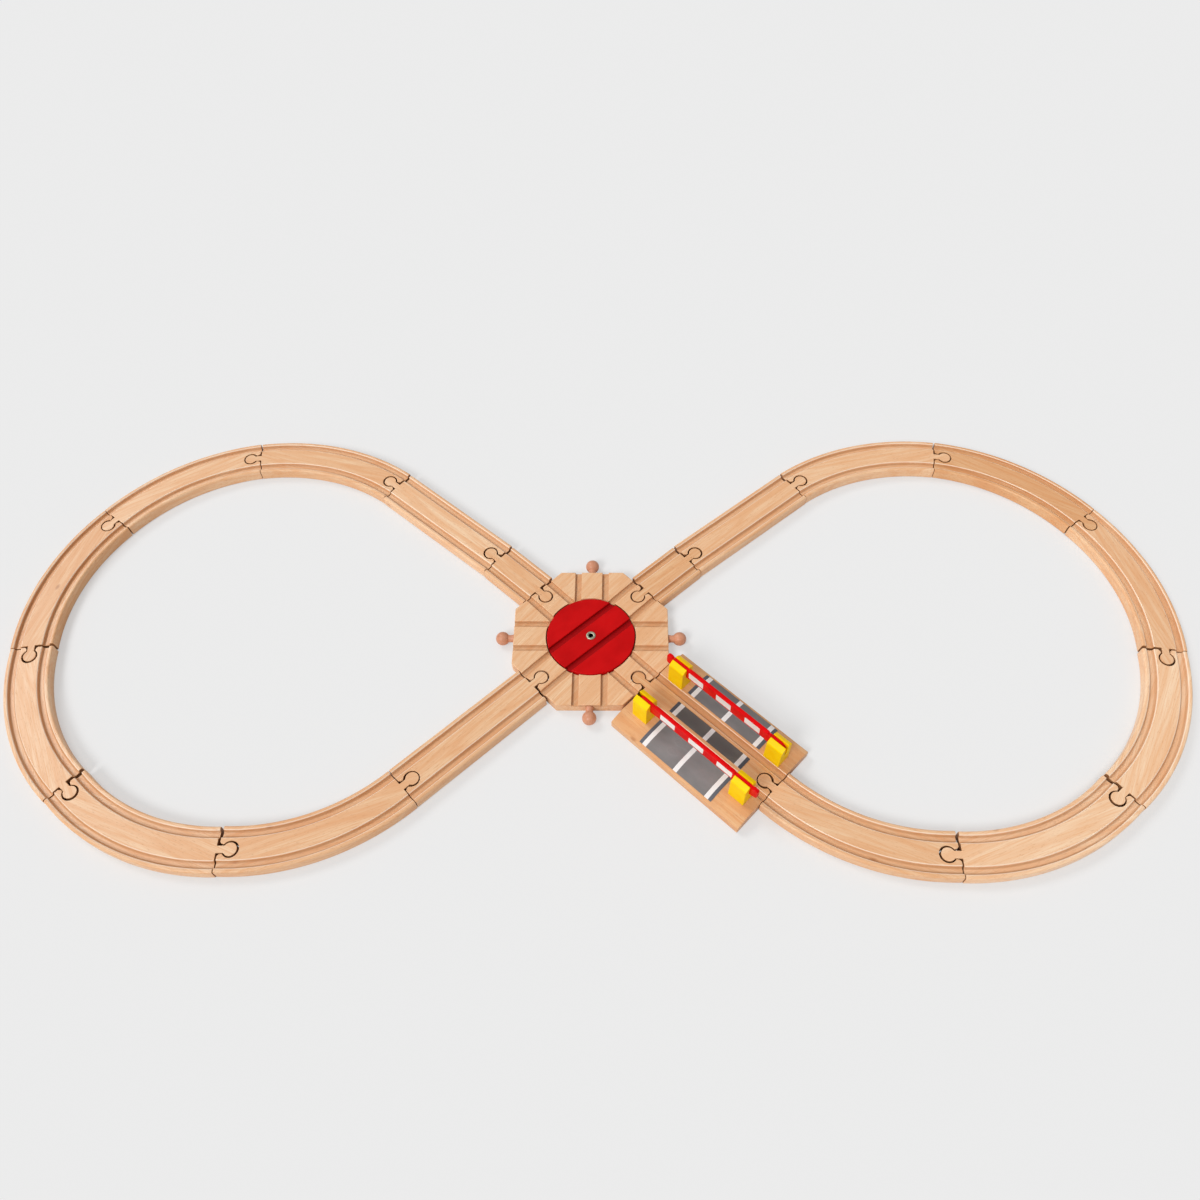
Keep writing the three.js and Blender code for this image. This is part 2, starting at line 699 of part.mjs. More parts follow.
function levelCrossing() {
  const group = new THREE.Group();
  group.add(piece('crossing_plate', crossingPlate(), BEECH));
  group.add(piece('road_decal_front', rampDecal(), GREY_DECAL));
  group.add(piece('road_decal_centre', centreDecal(), GREY_DECAL));
  const back = piece('road_decal_back', rampDecal(), GREY_DECAL);
  back.position.x = STRAIGHT_LENGTH;
  back.rotation.z = Math.PI;
  group.add(back);
  for (const { name, x, y } of POSTS) {
    const post = piece(`barrier_post_${name}`, barrierPost(), YELLOW_PLASTIC);
    post.position.set(x, y, POST_BASE);
    group.add(post);
  }
  const front = piece('barrier_arm_front', barrierArm(), RED_PLASTIC);
  front.position.set(FAR_POST, POST_OFFSET, POST_BASE + PIVOT_HEIGHT);
  front.rotation.z = Math.PI;
  const rear = piece('barrier_arm_back', barrierArm(), RED_PLASTIC);
  rear.position.set(POST_END_DISTANCE, -POST_OFFSET, POST_BASE + PIVOT_HEIGHT);
  group.add(front, rear);
  return group;
}

// The whole layout

function place(object, { x, y, heading }) {
  object.position.set(x, y, 0);
  object.rotation.z = heading;
  return object;
}

function turnedOver(mesh) {
  // A right-hand curve is the same piece lying on its other face
  const group = new THREE.Group();
  mesh.rotation.x = Math.PI;
  mesh.position.z = TRACK_HEIGHT;
  group.add(mesh);
  return group;
}

function mirrored({ x, y, heading }) {
  return { x: -x, y, heading: Math.PI - heading };
}

function trackLoop(side) {
  const group = new THREE.Group();
  const right = side === 'right';
  let curves = 0;
  LOOP_PIECES.forEach((kind, i) => {
    const start = right ? mirrored(LOOP.starts[i]) : LOOP.starts[i];
    const last = i === LOOP_PIECES.length - 1;
    if (kind === 'short') {
      group.add(place(piece(`short_straight_${side}`, shortTrack(), BEECH), start));
    } else if (kind === 'curve') {
      curves += 1;
      const curve = piece(`curve_${side}_${curves}`, curvedTrack(), BEECH);
      group.add(place(right ? turnedOver(curve) : curve, start));
    } else if (last && right) {
      group.add(place(levelCrossing(), start));
    } else {
      const arm = last ? 'lower' : 'upper';
      group.add(place(piece(`straight_${arm}_${side}`, straightTrack(STRAIGHT_LENGTH), BEECH), start));
    }
  });
  return group;
}

const layout = new THREE.Group();
layout.add(turntable(), trackLoop('left'), trackLoop('right'));
layout.updateMatrixWorld(true);

const footprint = new THREE.Box3().setFromObject(layout, true).getCenter(new THREE.Vector3());
layout.position.set(-footprint.x, -footprint.y, 0);

const trainTrack = new THREE.Group();
trainTrack.name = 'wooden_train_track';
trainTrack.add(layout);

export default trainTrack;
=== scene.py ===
"""Wooden train track: a figure-eight layout of beech track with a turntable and a level crossing.

Each piece is shaped in millimetres about its own start, then put where the CAD frame has it, in metres.
"""

import random
from math import asin, atan2, cos, hypot, pi, radians, sin

import bmesh
import bpy
from mathutils import Matrix, Vector


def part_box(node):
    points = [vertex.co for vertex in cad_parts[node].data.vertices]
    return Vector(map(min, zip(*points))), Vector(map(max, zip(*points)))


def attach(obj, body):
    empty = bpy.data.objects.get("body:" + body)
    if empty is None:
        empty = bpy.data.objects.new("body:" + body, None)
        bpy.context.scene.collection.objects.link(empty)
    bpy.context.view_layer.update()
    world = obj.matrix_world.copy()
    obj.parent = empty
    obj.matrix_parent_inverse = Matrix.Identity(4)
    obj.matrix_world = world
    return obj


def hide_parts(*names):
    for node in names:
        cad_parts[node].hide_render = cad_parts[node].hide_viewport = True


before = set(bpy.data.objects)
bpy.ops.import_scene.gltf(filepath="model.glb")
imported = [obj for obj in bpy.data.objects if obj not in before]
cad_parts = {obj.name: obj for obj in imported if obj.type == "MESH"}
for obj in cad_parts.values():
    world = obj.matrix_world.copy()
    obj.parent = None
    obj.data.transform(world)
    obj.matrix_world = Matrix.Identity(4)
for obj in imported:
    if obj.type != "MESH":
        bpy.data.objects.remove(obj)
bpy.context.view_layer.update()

MM = 0.001

# Track section
TRACK_HALF = 20.0
TRACK_HEIGHT = 12.0
GROOVE_INNER = 10.0
GROOVE_OUTER = 16.0
GROOVE_MIDDLE = 13.0
GROOVE_FLOOR = 9.0
GROOVE_DEPTH = 3.0
GROOVE_HALF = 3.0
RAIL_ROUND = 1.8
LIP_ROUND = 1.1
FLOOR_ROUND = 1.7
CUT_LIP = 0.6
CUT_FLOOR = 0.8
# Painted highlight on the groove lips, between these depths below a face
LIP_HIGHLIGHT_TOP = 0.04
LIP_HIGHLIGHT_BOTTOM = 0.4
# Painted shade in the grooves, with their browner milled tone, by depth below a face
SHADE_START = 0.8
SHADE_REACH = 1.6
CORNER_SHADE = 0.85
TRACK_FLOOR_SHADE = 0.3
TURNTABLE_FLOOR_SHADE = 0.6

# Track pieces, pegs and sockets
STRAIGHT_LENGTH = 144.0
SHORT_LENGTH = 54.0
CURVE_RADIUS = 202.0
CURVE_ANGLE = radians(45)
CURVE_STEPS = 45
PEG_REACH = 11.0
PEG_RADIUS = 5.9
PEG_NECK = 3.3
PEG_ROOT = 3.0
SOCKET_MIDDLE = 9.875
SOCKET_RADIUS = 7.125
SOCKET_THROAT = 3.8
SOCKET_MOUTH = 4.5
SOCKET_SHOULDER = 1.4
KEYHOLE_STEPS = 44
CUT_PAST = 2.0
END_ROUND = 0.6

# Start face of each piece, in millimetres from the turntable's middle, and its heading in degrees
LEFT_LOOP = {
    "short_straight_left": (-52.226, 51.494, 137.6968),
    "straight_upper_left": (-92.871, 89.100, 140.4148),
    "curve_left_1": (-204.601, 182.063, 143.0626),
    "curve_left_2": (-355.282, 220.739, -170.4352),
    "curve_left_3": (-486.579, 138.025, -126.2332),
    "curve_left_4": (-522.522, -13.612, -84.4438),
    "curve_left_5": (-447.943, -150.737, -43.5299),
    "curve_left_6": (-302.175, -205.681, -1.5284),
    "straight_lower_left": (-157.464, -149.905, 43.0238),
}
# The right loop mirrors the left one, with the crossing in place of the lower straight
RIGHT_LOOP = {
    name.replace("left", "right"): (-x, y, (360.0 - heading) % 360.0 - 180.0)
    for name, (x, y, heading) in LEFT_LOOP.items() if name != "straight_lower_left"
}
CROSSING = (157.464, -149.905, 136.9762)
TURNTABLE = (0.0, 0.0, 0.0)

# Turntable
TURNTABLE_REACH = 72.0
TURNTABLE_EDGE = 0.8
DISC_RADIUS = 40.95
DISC_BOTTOM = 5.5
DISC_EDGE = 0.7
RECESS_RADIUS = 41.85
RECESS_FLOOR = 5.1
DISC_TURN = radians(42)
BALL_RADIUS = 6.4
BALL_NECK = 3.5
BALL_REACH = 10.5
BALL_HEIGHT = 6.5
TENON_DEPTH = 14.0
SPOKE_START = 24.0
RIVET_HOLE = 3.2
COUNTERBORE_RADIUS = 5.7
COUNTERBORE_DEPTH = 1.5
RIVET_HEAD = 5.5
RIVET_HEAD_LOW = 0.6
RIVET_HEAD_HIGH = 1.4
RIVET_SHANK = 3.0
RIVET_ROLL = 4.5
RIVET_TOP = 12.2
RIVET_BORE = 2.05
RIVET_BORE_FLOOR = 6.0
ROLL_SQUASH = 0.65
HOLE_STEPS = 48
TURNED_STEPS = 64
DISC_STEPS = 144
SOCKET_SPOKES = [pi / 4, 3 * pi / 4, 5 * pi / 4, 7 * pi / 4]
PEG_SPOKES = [0.0, pi / 2, pi, 3 * pi / 2]

# Level crossing
PLATE_HALF = 48.0
PLATE_SIDE = 8.7
PLATE_EDGE = 1.5
RAMP_START = 30.5
RAMP_END = PLATE_HALF - PLATE_EDGE
RAMP_DROP = TRACK_HEIGHT - PLATE_SIDE
RAMP_RADIUS = ((RAMP_END - RAMP_START) ** 2 + RAMP_DROP ** 2) / (2 * RAMP_DROP)
RAMP_STEPS = 14
ROAD_START = 31.5
ROAD_END = 112.5
ROAD_LINE_HALF = 2.1
ROAD_LINES = (ROAD_START + 5.3, (ROAD_START + ROAD_END) / 2, ROAD_END - 5.3)
FILM_GAP = 0.1
FILM_THICKNESS = 0.25
FILM_INNER = GROOVE_OUTER + 2.5
FILM_OUTER = RAMP_END - 1.25
CENTRE_FILM_HALF = 6.5
POST_NEAR = 17.5
POST_FAR = STRAIGHT_LENGTH - POST_NEAR
POST_OFFSET = 23.5
POST_BASE = TRACK_HEIGHT + 0.1
POST_LENGTH = 16.0
POST_HALF = 7.0
POST_HEIGHT = 29.0
POST_SHOULDER = 26.0
SLOT_HALF = 1.8
SLOT_FLOOR = 15.4
PIVOT = 22.0
TAIL_RADIUS = 6.3
TONGUE_HALF = 1.5
TRUNNION_RADIUS = 2.0
TRUNNION_REACH = 2.7
BLADE_START = hypot(POST_LENGTH / 2, POST_HEIGHT - PIVOT) + 0.8
BLADE_END = POST_FAR - POST_NEAR - POST_LENGTH / 2 - 0.8
TIP_START = POST_FAR - POST_NEAR + POST_LENGTH / 2 + 0.8
TIP_END = TIP_START + 6.5
BLADE_LOW = -5.0
BLADE_HIGH = 7.5
BLADE_HALF = 1.8
BLADE_EDGE = 0.8
PATCH_MIDDLES = (27.4, 59.0, 90.0)
PATCH_HALF = 8.15
PATCH_SLANT = 0.25

# Camera, fitted to the joints of the layout, from the turntable's middle
CAMERA_PLACE = (30.1, -477.5, 790.5)
CAMERA_YAW = radians(-2.45)
CAMERA_PITCH = radians(56.37)
CAMERA_ROLL = radians(-1.98)
CAMERA_FOCAL_PIXELS = 982.4
IMAGE_PIXELS = 1200
SENSOR_MM = 36.0

# Studio, in metres
FLOOR_SIZE = 12.0
FLOOR_DROP = 0.0001
PAPER = "#ececec"
SKY_STRENGTH = 0.43
# Name, strength, width in degrees and heading of each lamp
LAMPS = (
    ("front_lamp", 1.6, 22, (0.50, 0.66, -0.78)),
    ("back_lamp", 0.9, 22, (0.62, -0.45, -0.85)),
)

SHARP = radians(40)
MERGE_ANGLE = radians(0.05)
MERGE_DISTANCE = 0.001
RGBA = {"data_type": "RGBA"}

base_low, base_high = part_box("turntable_base")
MIDDLE = Vector(((base_low[0] + base_high[0]) / 2, (base_low[1] + base_high[1]) / 2, 0.0))


# Finishes

def linear(hex_colour):
    """sRGB hex to linear RGBA."""
    values = [int(hex_colour[i:i + 2], 16) / 255 for i in (1, 3, 5)]
    return (*[v / 12.92 if v <= 0.04045 else ((v + 0.055) / 1.055) ** 2.4 for v in values], 1.0)


def features(along, across):
    """Scale that makes one unit of a pattern this many millimetres along and across the grain."""
    return (1 / (along * MM), 1 / (across * MM), 1 / (across * MM))


def add(tree, kind, output, settings=None, inputs=None):
    """Adds a node with its settings, sets or links its inputs, and gives the output asked for."""
    node = tree.nodes.new(kind)
    for name, value in (settings or {}).items():
        setattr(node, name, value)
    for socket_name, value in (inputs or {}).items():
        if isinstance(value, bpy.types.NodeSocket):
            tree.links.new(value, node.inputs[socket_name])
        else:
            node.inputs[socket_name].default_value = value
    return node.outputs[output]


def new_material(name):
    """An empty material, its nodes and its shader."""
    material = bpy.data.materials.new(name)
    material.use_nodes = True
    return material, material.node_tree, material.node_tree.nodes["Principled BSDF"]


def beech(name, pale, brown, fleck, warm, groove_brown_and_shade, end_grain_and_gap_shade):
    """Beech, planed and clear lacquered: pale, with a slow figure along the plank, fine pores and short
    brown ray flecks. The milled grooves are browner than the sanded deck, with painted shade deepest in
    their corners, and their rounded lips carry a painted highlight. The sawn walls of pegs and sockets,
    seen only in narrow gaps, are darker end grain with the painted shade of those gaps."""
    material, tree, shader = new_material(name)
    grain = add(tree, "ShaderNodeAttribute", "Vector", {"attribute_name": "grain"})
    tone = add(tree, "ShaderNodeAttribute", "Fac", {"attribute_name": "tone"})
    milled = add(tree, "ShaderNodeAttribute", "Fac", {"attribute_name": "milled"})

    # Slow figure, about 8 mm wide and 110 mm long
    at = add(tree, "ShaderNodeMapping", "Vector", {}, {"Vector": grain, "Scale": features(110, 8)})
    figure = add(tree, "ShaderNodeTexNoise", "Fac", {},
                 {"Vector": at, "Scale": 1.0, "Detail": 4.0, "Roughness": 0.55, "Distortion": 0.4})
    figure = add(tree, "ShaderNodeMapRange", "Result", {},
                 {"Value": figure, "From Min": 0.32, "From Max": 0.68, "To Min": 0.15, "To Max": 0.75})
    colour = add(tree, "ShaderNodeMix", 2, RGBA, {0: figure, 6: linear(pale), 7: linear(brown)})

    # Growth rings met by the saw: level lines of a slow field, 2 to 5 mm apart
    at = add(tree, "ShaderNodeMapping", "Vector", {}, {"Vector": grain, "Scale": features(330, 24)})
    growth = add(tree, "ShaderNodeTexNoise", "Fac", {},
                 {"Vector": at, "Scale": 1.0, "Detail": 1.5, "Roughness": 0.4, "Distortion": 0.2})
    growth = add(tree, "ShaderNodeMath", 0, {"operation": "MULTIPLY"}, {0: growth, 1: 64.0})
    growth = add(tree, "ShaderNodeMath", 0, {"operation": "SINE"}, {0: growth})
    ring = add(tree, "ShaderNodeMapRange", "Result", {},
               {"Value": growth, "From Min": 0.1, "From Max": 1.0, "To Max": 0.55})
    colour = add(tree, "ShaderNodeMix", 2, RGBA, {0: ring, 6: colour, 7: linear(brown)})

    # Bundles of fibres, 0.8 mm wide and 26 mm long; a single fibre is too fine to show in the render
    at = add(tree, "ShaderNodeMapping", "Vector", {}, {"Vector": grain, "Scale": features(26, 0.8)})
    fibre = add(tree, "ShaderNodeTexNoise", "Fac", {},
                {"Vector": at, "Scale": 1.0, "Detail": 2.0, "Roughness": 0.6})
    comb = add(tree, "ShaderNodeMapRange", "Result", {},
               {"Value": fibre, "From Min": 0.44, "From Max": 0.68, "To Max": 0.8})
    colour = add(tree, "ShaderNodeMix", 2, RGBA, {0: comb, 6: colour, 7: linear(brown)})

    # Ray flecks, really 0.3 mm wide, drawn at 0.6 mm so that they show in the render
    at = add(tree, "ShaderNodeMapping", "Vector", {}, {"Vector": grain, "Scale": features(3.6, 0.6)})
    speck = add(tree, "ShaderNodeTexNoise", "Fac", {}, {"Vector": at, "Scale": 1.0, "Detail": 1.0})
    speck = add(tree, "ShaderNodeMapRange", "Result", {},
                {"Value": speck, "From Min": 0.62, "From Max": 0.74, "To Max": 0.32})
    colour = add(tree, "ShaderNodeMix", 2, RGBA, {0: speck, 6: colour, 7: linear(fleck)})

    # A few small knots
    at = add(tree, "ShaderNodeMapping", "Vector", {}, {"Vector": grain, "Scale": features(60, 30)})
    knot = add(tree, "ShaderNodeTexVoronoi", "Distance", {}, {"Vector": at, "Scale": 1.0})
    knot = add(tree, "ShaderNodeMapRange", "Result", {},
               {"Value": knot, "From Min": 0.03, "From Max": 0.075, "To Min": 0.6, "To Max": 0.0})
    colour = add(tree, "ShaderNodeMix", 2, RGBA, {0: knot, 6: colour, 7: linear(fleck)})

    # Each plank has its own tone, up to the warm colour
    colour = add(tree, "ShaderNodeMix", 2, {"data_type": "RGBA", "blend_type": "MULTIPLY"},
                 {0: tone, 6: colour, 7: linear(warm)})
    # Painted highlight: the rounded lips of the grooves are drawn pale
    painted_lip_highlight = add(tree, "ShaderNodeMapRange", "Result", {},
               {"Value": milled, "From Min": -1.0, "From Max": 0.0, "To Min": 0.6, "To Max": 0.0})
    colour = add(tree, "ShaderNodeMix", 2, RGBA, {0: painted_lip_highlight, 6: colour, 7: linear("#fff0de")})
    # Grooves are browner where milled, with painted shade deepest in their corners;
    # sawn walls are darker end grain, with painted shade of the narrow gaps between pieces
    groove_tone_and_shade = add(tree, "ShaderNodeMath", 0, {"operation": "MULTIPLY"}, {0: milled, 1: 0.62})
    colour = add(tree, "ShaderNodeMix", 2, RGBA, {0: groove_tone_and_shade, 6: colour, 7: linear(groove_brown_and_shade)})
    sawn = add(tree, "ShaderNodeMath", 0, {"operation": "SUBTRACT", "use_clamp": True}, {0: milled, 1: 1.0})
    colour = add(tree, "ShaderNodeMix", 2, RGBA, {0: sawn, 6: colour, 7: linear(end_grain_and_gap_shade)})

    sheen = add(tree, "ShaderNodeMapRange", "Result", {},
                {"Value": fibre, "From Min": 0.3, "From Max": 0.7, "To Min": 0.29, "To Max": 0.42})
    height = add(tree, "ShaderNodeMath", 0, {"operation": "SUBTRACT"}, {0: fibre, 1: speck})
    relief = add(tree, "ShaderNodeBump", "Normal", {},
                 {"Height": height, "Strength": 0.2, "Distance": 0.00006})
    tree.links.new(colour, shader.inputs["Base Color"])
    tree.links.new(sheen, shader.inputs["Roughness"])
    tree.links.new(relief, shader.inputs["Normal"])
    shader.inputs["Specular IOR Level"].default_value = 0.32
    return material


def gloss_paint(name, red, deep, groove_shade_red):
    """Gloss paint on beech: an even film, the wood's fibres standing a little proud through it, and
    darker in the milled grooves, where shade is painted, deepest in their corners."""
    material, tree, shader = new_material(name)
    grain = add(tree, "ShaderNodeAttribute", "Vector", {"attribute_name": "grain"})
    milled = add(tree, "ShaderNodeAttribute", "Fac", {"attribute_name": "milled"})
    at = add(tree, "ShaderNodeMapping", "Vector", {}, {"Vector": grain, "Scale": features(24, 17)})
    cloud = add(tree, "ShaderNodeTexNoise", "Fac", {}, {"Vector": at, "Scale": 1.0, "Detail": 2.0})
    cloud = add(tree, "ShaderNodeMapRange", "Result", {},
                {"Value": cloud, "From Min": 0.35, "From Max": 0.65})
    colour = add(tree, "ShaderNodeMix", 2, RGBA, {0: cloud, 6: linear(red), 7: linear(deep)})
    # Painted shade in the grooves, deepest in their corners
    colour = add(tree, "ShaderNodeMix", 2, RGBA, {0: milled, 6: colour, 7: linear(groove_shade_red)})
    # Fibres under the paint, drawn as bundles 1.1 mm wide so that they show in the render
    at = add(tree, "ShaderNodeMapping", "Vector", {}, {"Vector": grain, "Scale": features(22, 1.1)})
    fibre = add(tree, "ShaderNodeTexNoise", "Fac", {}, {"Vector": at, "Scale": 1.0, "Detail": 3.0})
    sheen = add(tree, "ShaderNodeMapRange", "Result", {},
                {"Value": fibre, "From Min": 0.3, "From Max": 0.7, "To Min": 0.28, "To Max": 0.4})
    relief = add(tree, "ShaderNodeBump", "Normal", {},
                 {"Height": fibre, "Strength": 0.2, "Distance": 0.00008})
    tree.links.new(colour, shader.inputs["Base Color"])
    tree.links.new(sheen, shader.inputs["Roughness"])
    tree.links.new(relief, shader.inputs["Normal"])
    shader.inputs["Specular IOR Level"].default_value = 0.11
    return material


def moulded(name, colour, deep, roughness):
    """Injection-moulded ABS: one even glossy colour, with slight flow marks and a fine skin."""
    material, tree, shader = new_material(name)
    place = add(tree, "ShaderNodeTexCoord", "Object")
    at = add(tree, "ShaderNodeMapping", "Vector", {}, {"Vector": place, "Scale": features(18, 9)})
    flow = add(tree, "ShaderNodeTexNoise", "Fac", {}, {"Vector": at, "Scale": 1.0, "Detail": 2.0})
    flow = add(tree, "ShaderNodeMapRange", "Result", {}, {"Value": flow, "From Min": 0.35, "From Max": 0.65})
    tint = add(tree, "ShaderNodeMix", 2, RGBA, {0: flow, 6: linear(colour), 7: linear(deep)})
    sheen = add(tree, "ShaderNodeMapRange", "Result", {},
                {"Value": flow, "To Min": roughness, "To Max": roughness + 0.08})
    # Skin of the mould, really about 0.1 mm, drawn at 0.5 mm so that it shows in the render
    at = add(tree, "ShaderNodeMapping", "Vector", {}, {"Vector": place, "Scale": features(0.5, 0.5)})
    skin = add(tree, "ShaderNodeTexNoise", "Fac", {}, {"Vector": at, "Scale": 1.0, "Detail": 1.0})
    relief = add(tree, "ShaderNodeBump", "Normal", {}, {"Height": skin, "Strength": 0.1, "Distance": 0.00003})
    tree.links.new(tint, shader.inputs["Base Color"])
    tree.links.new(sheen, shader.inputs["Roughness"])
    tree.links.new(relief, shader.inputs["Normal"])
    shader.inputs["Specular IOR Level"].default_value = 0.12
    return material


def road_film(name, grey, deep, line_white, edge_slate):
    """Printed vinyl film: satin asphalt grey with fine speckle, white lines across it and slate ends."""
    material, tree, shader = new_material(name)
    road = add(tree, "ShaderNodeAttribute", "Vector", {"attribute_name": "road"})
    along = add(tree, "ShaderNodeSeparateXYZ", "X", {}, {0: road})
    at = add(tree, "ShaderNodeMapping", "Vector", {}, {"Vector": road, "Scale": features(30, 14)})
    cloud = add(tree, "ShaderNodeTexNoise", "Fac", {}, {"Vector": at, "Scale": 1.0, "Detail": 2.0})
    shade = add(tree, "ShaderNodeMapRange", "Result", {},
                {"Value": cloud, "From Min": 0.35, "From Max": 0.65})
    colour = add(tree, "ShaderNodeMix", 2, RGBA, {0: shade, 6: linear(grey), 7: linear(deep)})
    # Speckle of the print, really about 0.2 mm, drawn at 0.8 mm so that it shows in the render
    at = add(tree, "ShaderNodeMapping", "Vector", {}, {"Vector": road, "Scale": features(0.8, 0.8)})
    grit = add(tree, "ShaderNodeTexNoise", "Fac", {}, {"Vector": at, "Scale": 1.0, "Detail": 1.0})
    grit = add(tree, "ShaderNodeMapRange", "Result", {},
               {"Value": grit, "From Min": 0.5, "From Max": 0.7, "To Max": 0.3})
    colour = add(tree, "ShaderNodeMix", 2, RGBA, {0: grit, 6: colour, 7: linear(deep)})
    # Slate beyond the outer lines, then the white lines
    middle = (ROAD_START + ROAD_END) / 2 * MM
    reach = (ROAD_LINES[2] - ROAD_LINES[0]) / 2 * MM
    inside = add(tree, "ShaderNodeMath", 0, {"operation": "COMPARE"}, {0: along, 1: middle, 2: reach})
    colour = add(tree, "ShaderNodeMix", 2, RGBA, {0: inside, 6: linear(edge_slate), 7: colour})
    for line in ROAD_LINES:
        inked = add(tree, "ShaderNodeMath", 0, {"operation": "COMPARE"},
                    {0: along, 1: line * MM, 2: ROAD_LINE_HALF * MM})
        colour = add(tree, "ShaderNodeMix", 2, RGBA, {0: inked, 6: colour, 7: linear(line_white)})
    sheen = add(tree, "ShaderNodeMapRange", "Result", {},
                {"Value": cloud, "From Min": 0.3, "From Max": 0.7, "To Min": 0.26, "To Max": 0.36})
    tree.links.new(colour, shader.inputs["Base Color"])
    tree.links.new(sheen, shader.inputs["Roughness"])
    shader.inputs["Specular IOR Level"].default_value = 0.3
    return material


def drawn_brass(name, bright, dull, bore_shade):
    """Drawn brass with a nickel wash: pale and bright, with fine draw marks, and painted shade, nearly black,
    in its bore.
    """
    material, tree, shader = new_material(name)
    place = add(tree, "ShaderNodeTexCoord", "Object")
    # Draw marks, really about 0.1 mm, drawn at 0.6 mm so that they show in the render
    at = add(tree, "ShaderNodeMapping", "Vector", {}, {"Vector": place, "Scale": features(0.6, 0.6)})
    marks = add(tree, "ShaderNodeTexNoise", "Fac", {}, {"Vector": at, "Scale": 1.0, "Detail": 2.0})
    marks = add(tree, "ShaderNodeMapRange", "Result", {},
                {"Value": marks, "From Min": 0.35, "From Max": 0.65})
    colour = add(tree, "ShaderNodeMix", 2, RGBA, {0: marks, 6: linear(bright), 7: linear(dull)})
    milled = add(tree, "ShaderNodeAttribute", "Fac", {"attribute_name": "milled"})
    # Painted shade inside the bore
    colour = add(tree, "ShaderNodeMix", 2, RGBA, {0: milled, 6: colour, 7: linear(bore_shade)})
    sheen = add(tree, "ShaderNodeMapRange", "Result", {}, {"Value": marks, "To Min": 0.4, "To Max": 0.52})
    tree.links.new(colour, shader.inputs["Base Color"])
    tree.links.new(sheen, shader.inputs["Roughness"])
    shader.inputs["Metallic"].default_value = 1.0
    return material


PLANED_BEECH = beech(
    "beech_planed_lacquered", "#ffe3c2", "#f0b98a", "#b4754a", "#dfc29c", "#b27745", "#9a6a45",
)
TURNED_BEECH = beech(
    "beech_turned_lacquered", "#dfa68a", "#cd9072", "#a8694a", "#fbe9d6", "#a86a45", "#644026",
)
RED_PAINT = gloss_paint("gloss_paint_red_on_beech", "#cc090c", "#bd0407", "#86050a")
RED_ABS = moulded("abs_moulded_red", "#e6050a", "#da0306", 0.3)
YELLOW_ABS = moulded("abs_moulded_yellow", "#ffd900", "#ffcf00", 0.34)
WHITE_INK = moulded("pad_printed_white_ink", "#f7f3ef", "#eee9e3", 0.42)
FRONT_FILM = road_film("printed_film_front", "#8a8584", "#7b7776", "#efecea", "#62656d")
CENTRE_FILM = road_film("printed_film_centre", "#69645f", "#5d5957", "#e4e0de", "#50525a")
BACK_FILM = road_film("printed_film_back", "#817d7c", "#747170", "#efecea", "#5d6068")
RIVET_BRASS = drawn_brass("brass_drawn_nickel_washed", "#c6c5ae", "#a3a28c", "#17140f")


# Shaping

def as_object(bm, name="cutter"):
    """A scene object that a cut or a join can use."""
    bmesh.ops.recalc_face_normals(bm, faces=bm.faces)
    mesh = bpy.data.meshes.new(name)
    bm.to_mesh(mesh)
    bm.free()
    obj = bpy.data.objects.new(name, mesh)
    bpy.context.scene.collection.objects.link(obj)
    return obj


def combine(body, others, operation):
    """Cuts the others from the body, or joins them to it, and takes the others away."""
    for other in others:
        step = body.modifiers.new("combine", "BOOLEAN")
        step.operation = operation
        step.solver = "EXACT"
        step.object = other
    shaped = bpy.data.meshes.new_from_object(body.evaluated_get(bpy.context.evaluated_depsgraph_get()))
    body.modifiers.clear()
    spent = [body.data] + [other.data for other in others]
    body.data = shaped
    for other in others:
        bpy.data.objects.remove(other)
    for mesh in spent:
        bpy.data.meshes.remove(mesh)
    return body


def reopened(body):
    """The body's mesh as a bmesh with its flat faces merged; the object itself is taken away."""
    bm = bmesh.new()
    bm.from_mesh(body.data)
    mesh = body.data
    bpy.data.objects.remove(body)
    bpy.data.meshes.remove(mesh)
    bmesh.ops.remove_doubles(bm, verts=bm.verts, dist=MERGE_DISTANCE)
    bmesh.ops.dissolve_limit(bm, angle_limit=MERGE_ANGLE, verts=bm.verts, edges=bm.edges)
    bmesh.ops.recalc_face_normals(bm, faces=bm.faces)
    return bm


def outer_edges(bm):
    """Sharp edges that stick out."""
    return [e for e in bm.edges if e.is_manifold and e.calc_face_angle_signed(0.0) > SHARP]


def rounded(bm, edges, width, segments):
    """Rounds the edges given."""
    bmesh.ops.bevel(
        bm, geom=edges, offset=width, offset_type="OFFSET", segments=segments, profile=0.5,
        affect="EDGES", clamp_overlap=True, material=-1,
    )
    return bm


def outline(corners, segments=4):
    """A bmesh with one face from (point, rounding) corners, each corner rounded."""
    bm = bmesh.new()
    verts = [bm.verts.new(point) for point, _ in corners]
    bm.faces.new(verts)
    for size in sorted({size for _, size in corners if size}):
        chosen = [vert for vert, (_, own) in zip(verts, corners) if own == size]
        bmesh.ops.bevel(
            bm, geom=chosen, offset=size, offset_type="OFFSET", segments=segments, profile=0.5,
            affect="VERTICES", clamp_overlap=False, material=-1,
        )
    return bm


def drawn_out(bm, offset):
    """Extrudes the one face by an offset into a closed solid."""
    out = bmesh.ops.extrude_face_region(bm, geom=bm.faces[:])
    far = [v for v in out["geom"] if isinstance(v, bmesh.types.BMVert)]
    bmesh.ops.translate(bm, verts=far, vec=offset)
    bmesh.ops.recalc_face_normals(bm, faces=bm.faces)
    return bm


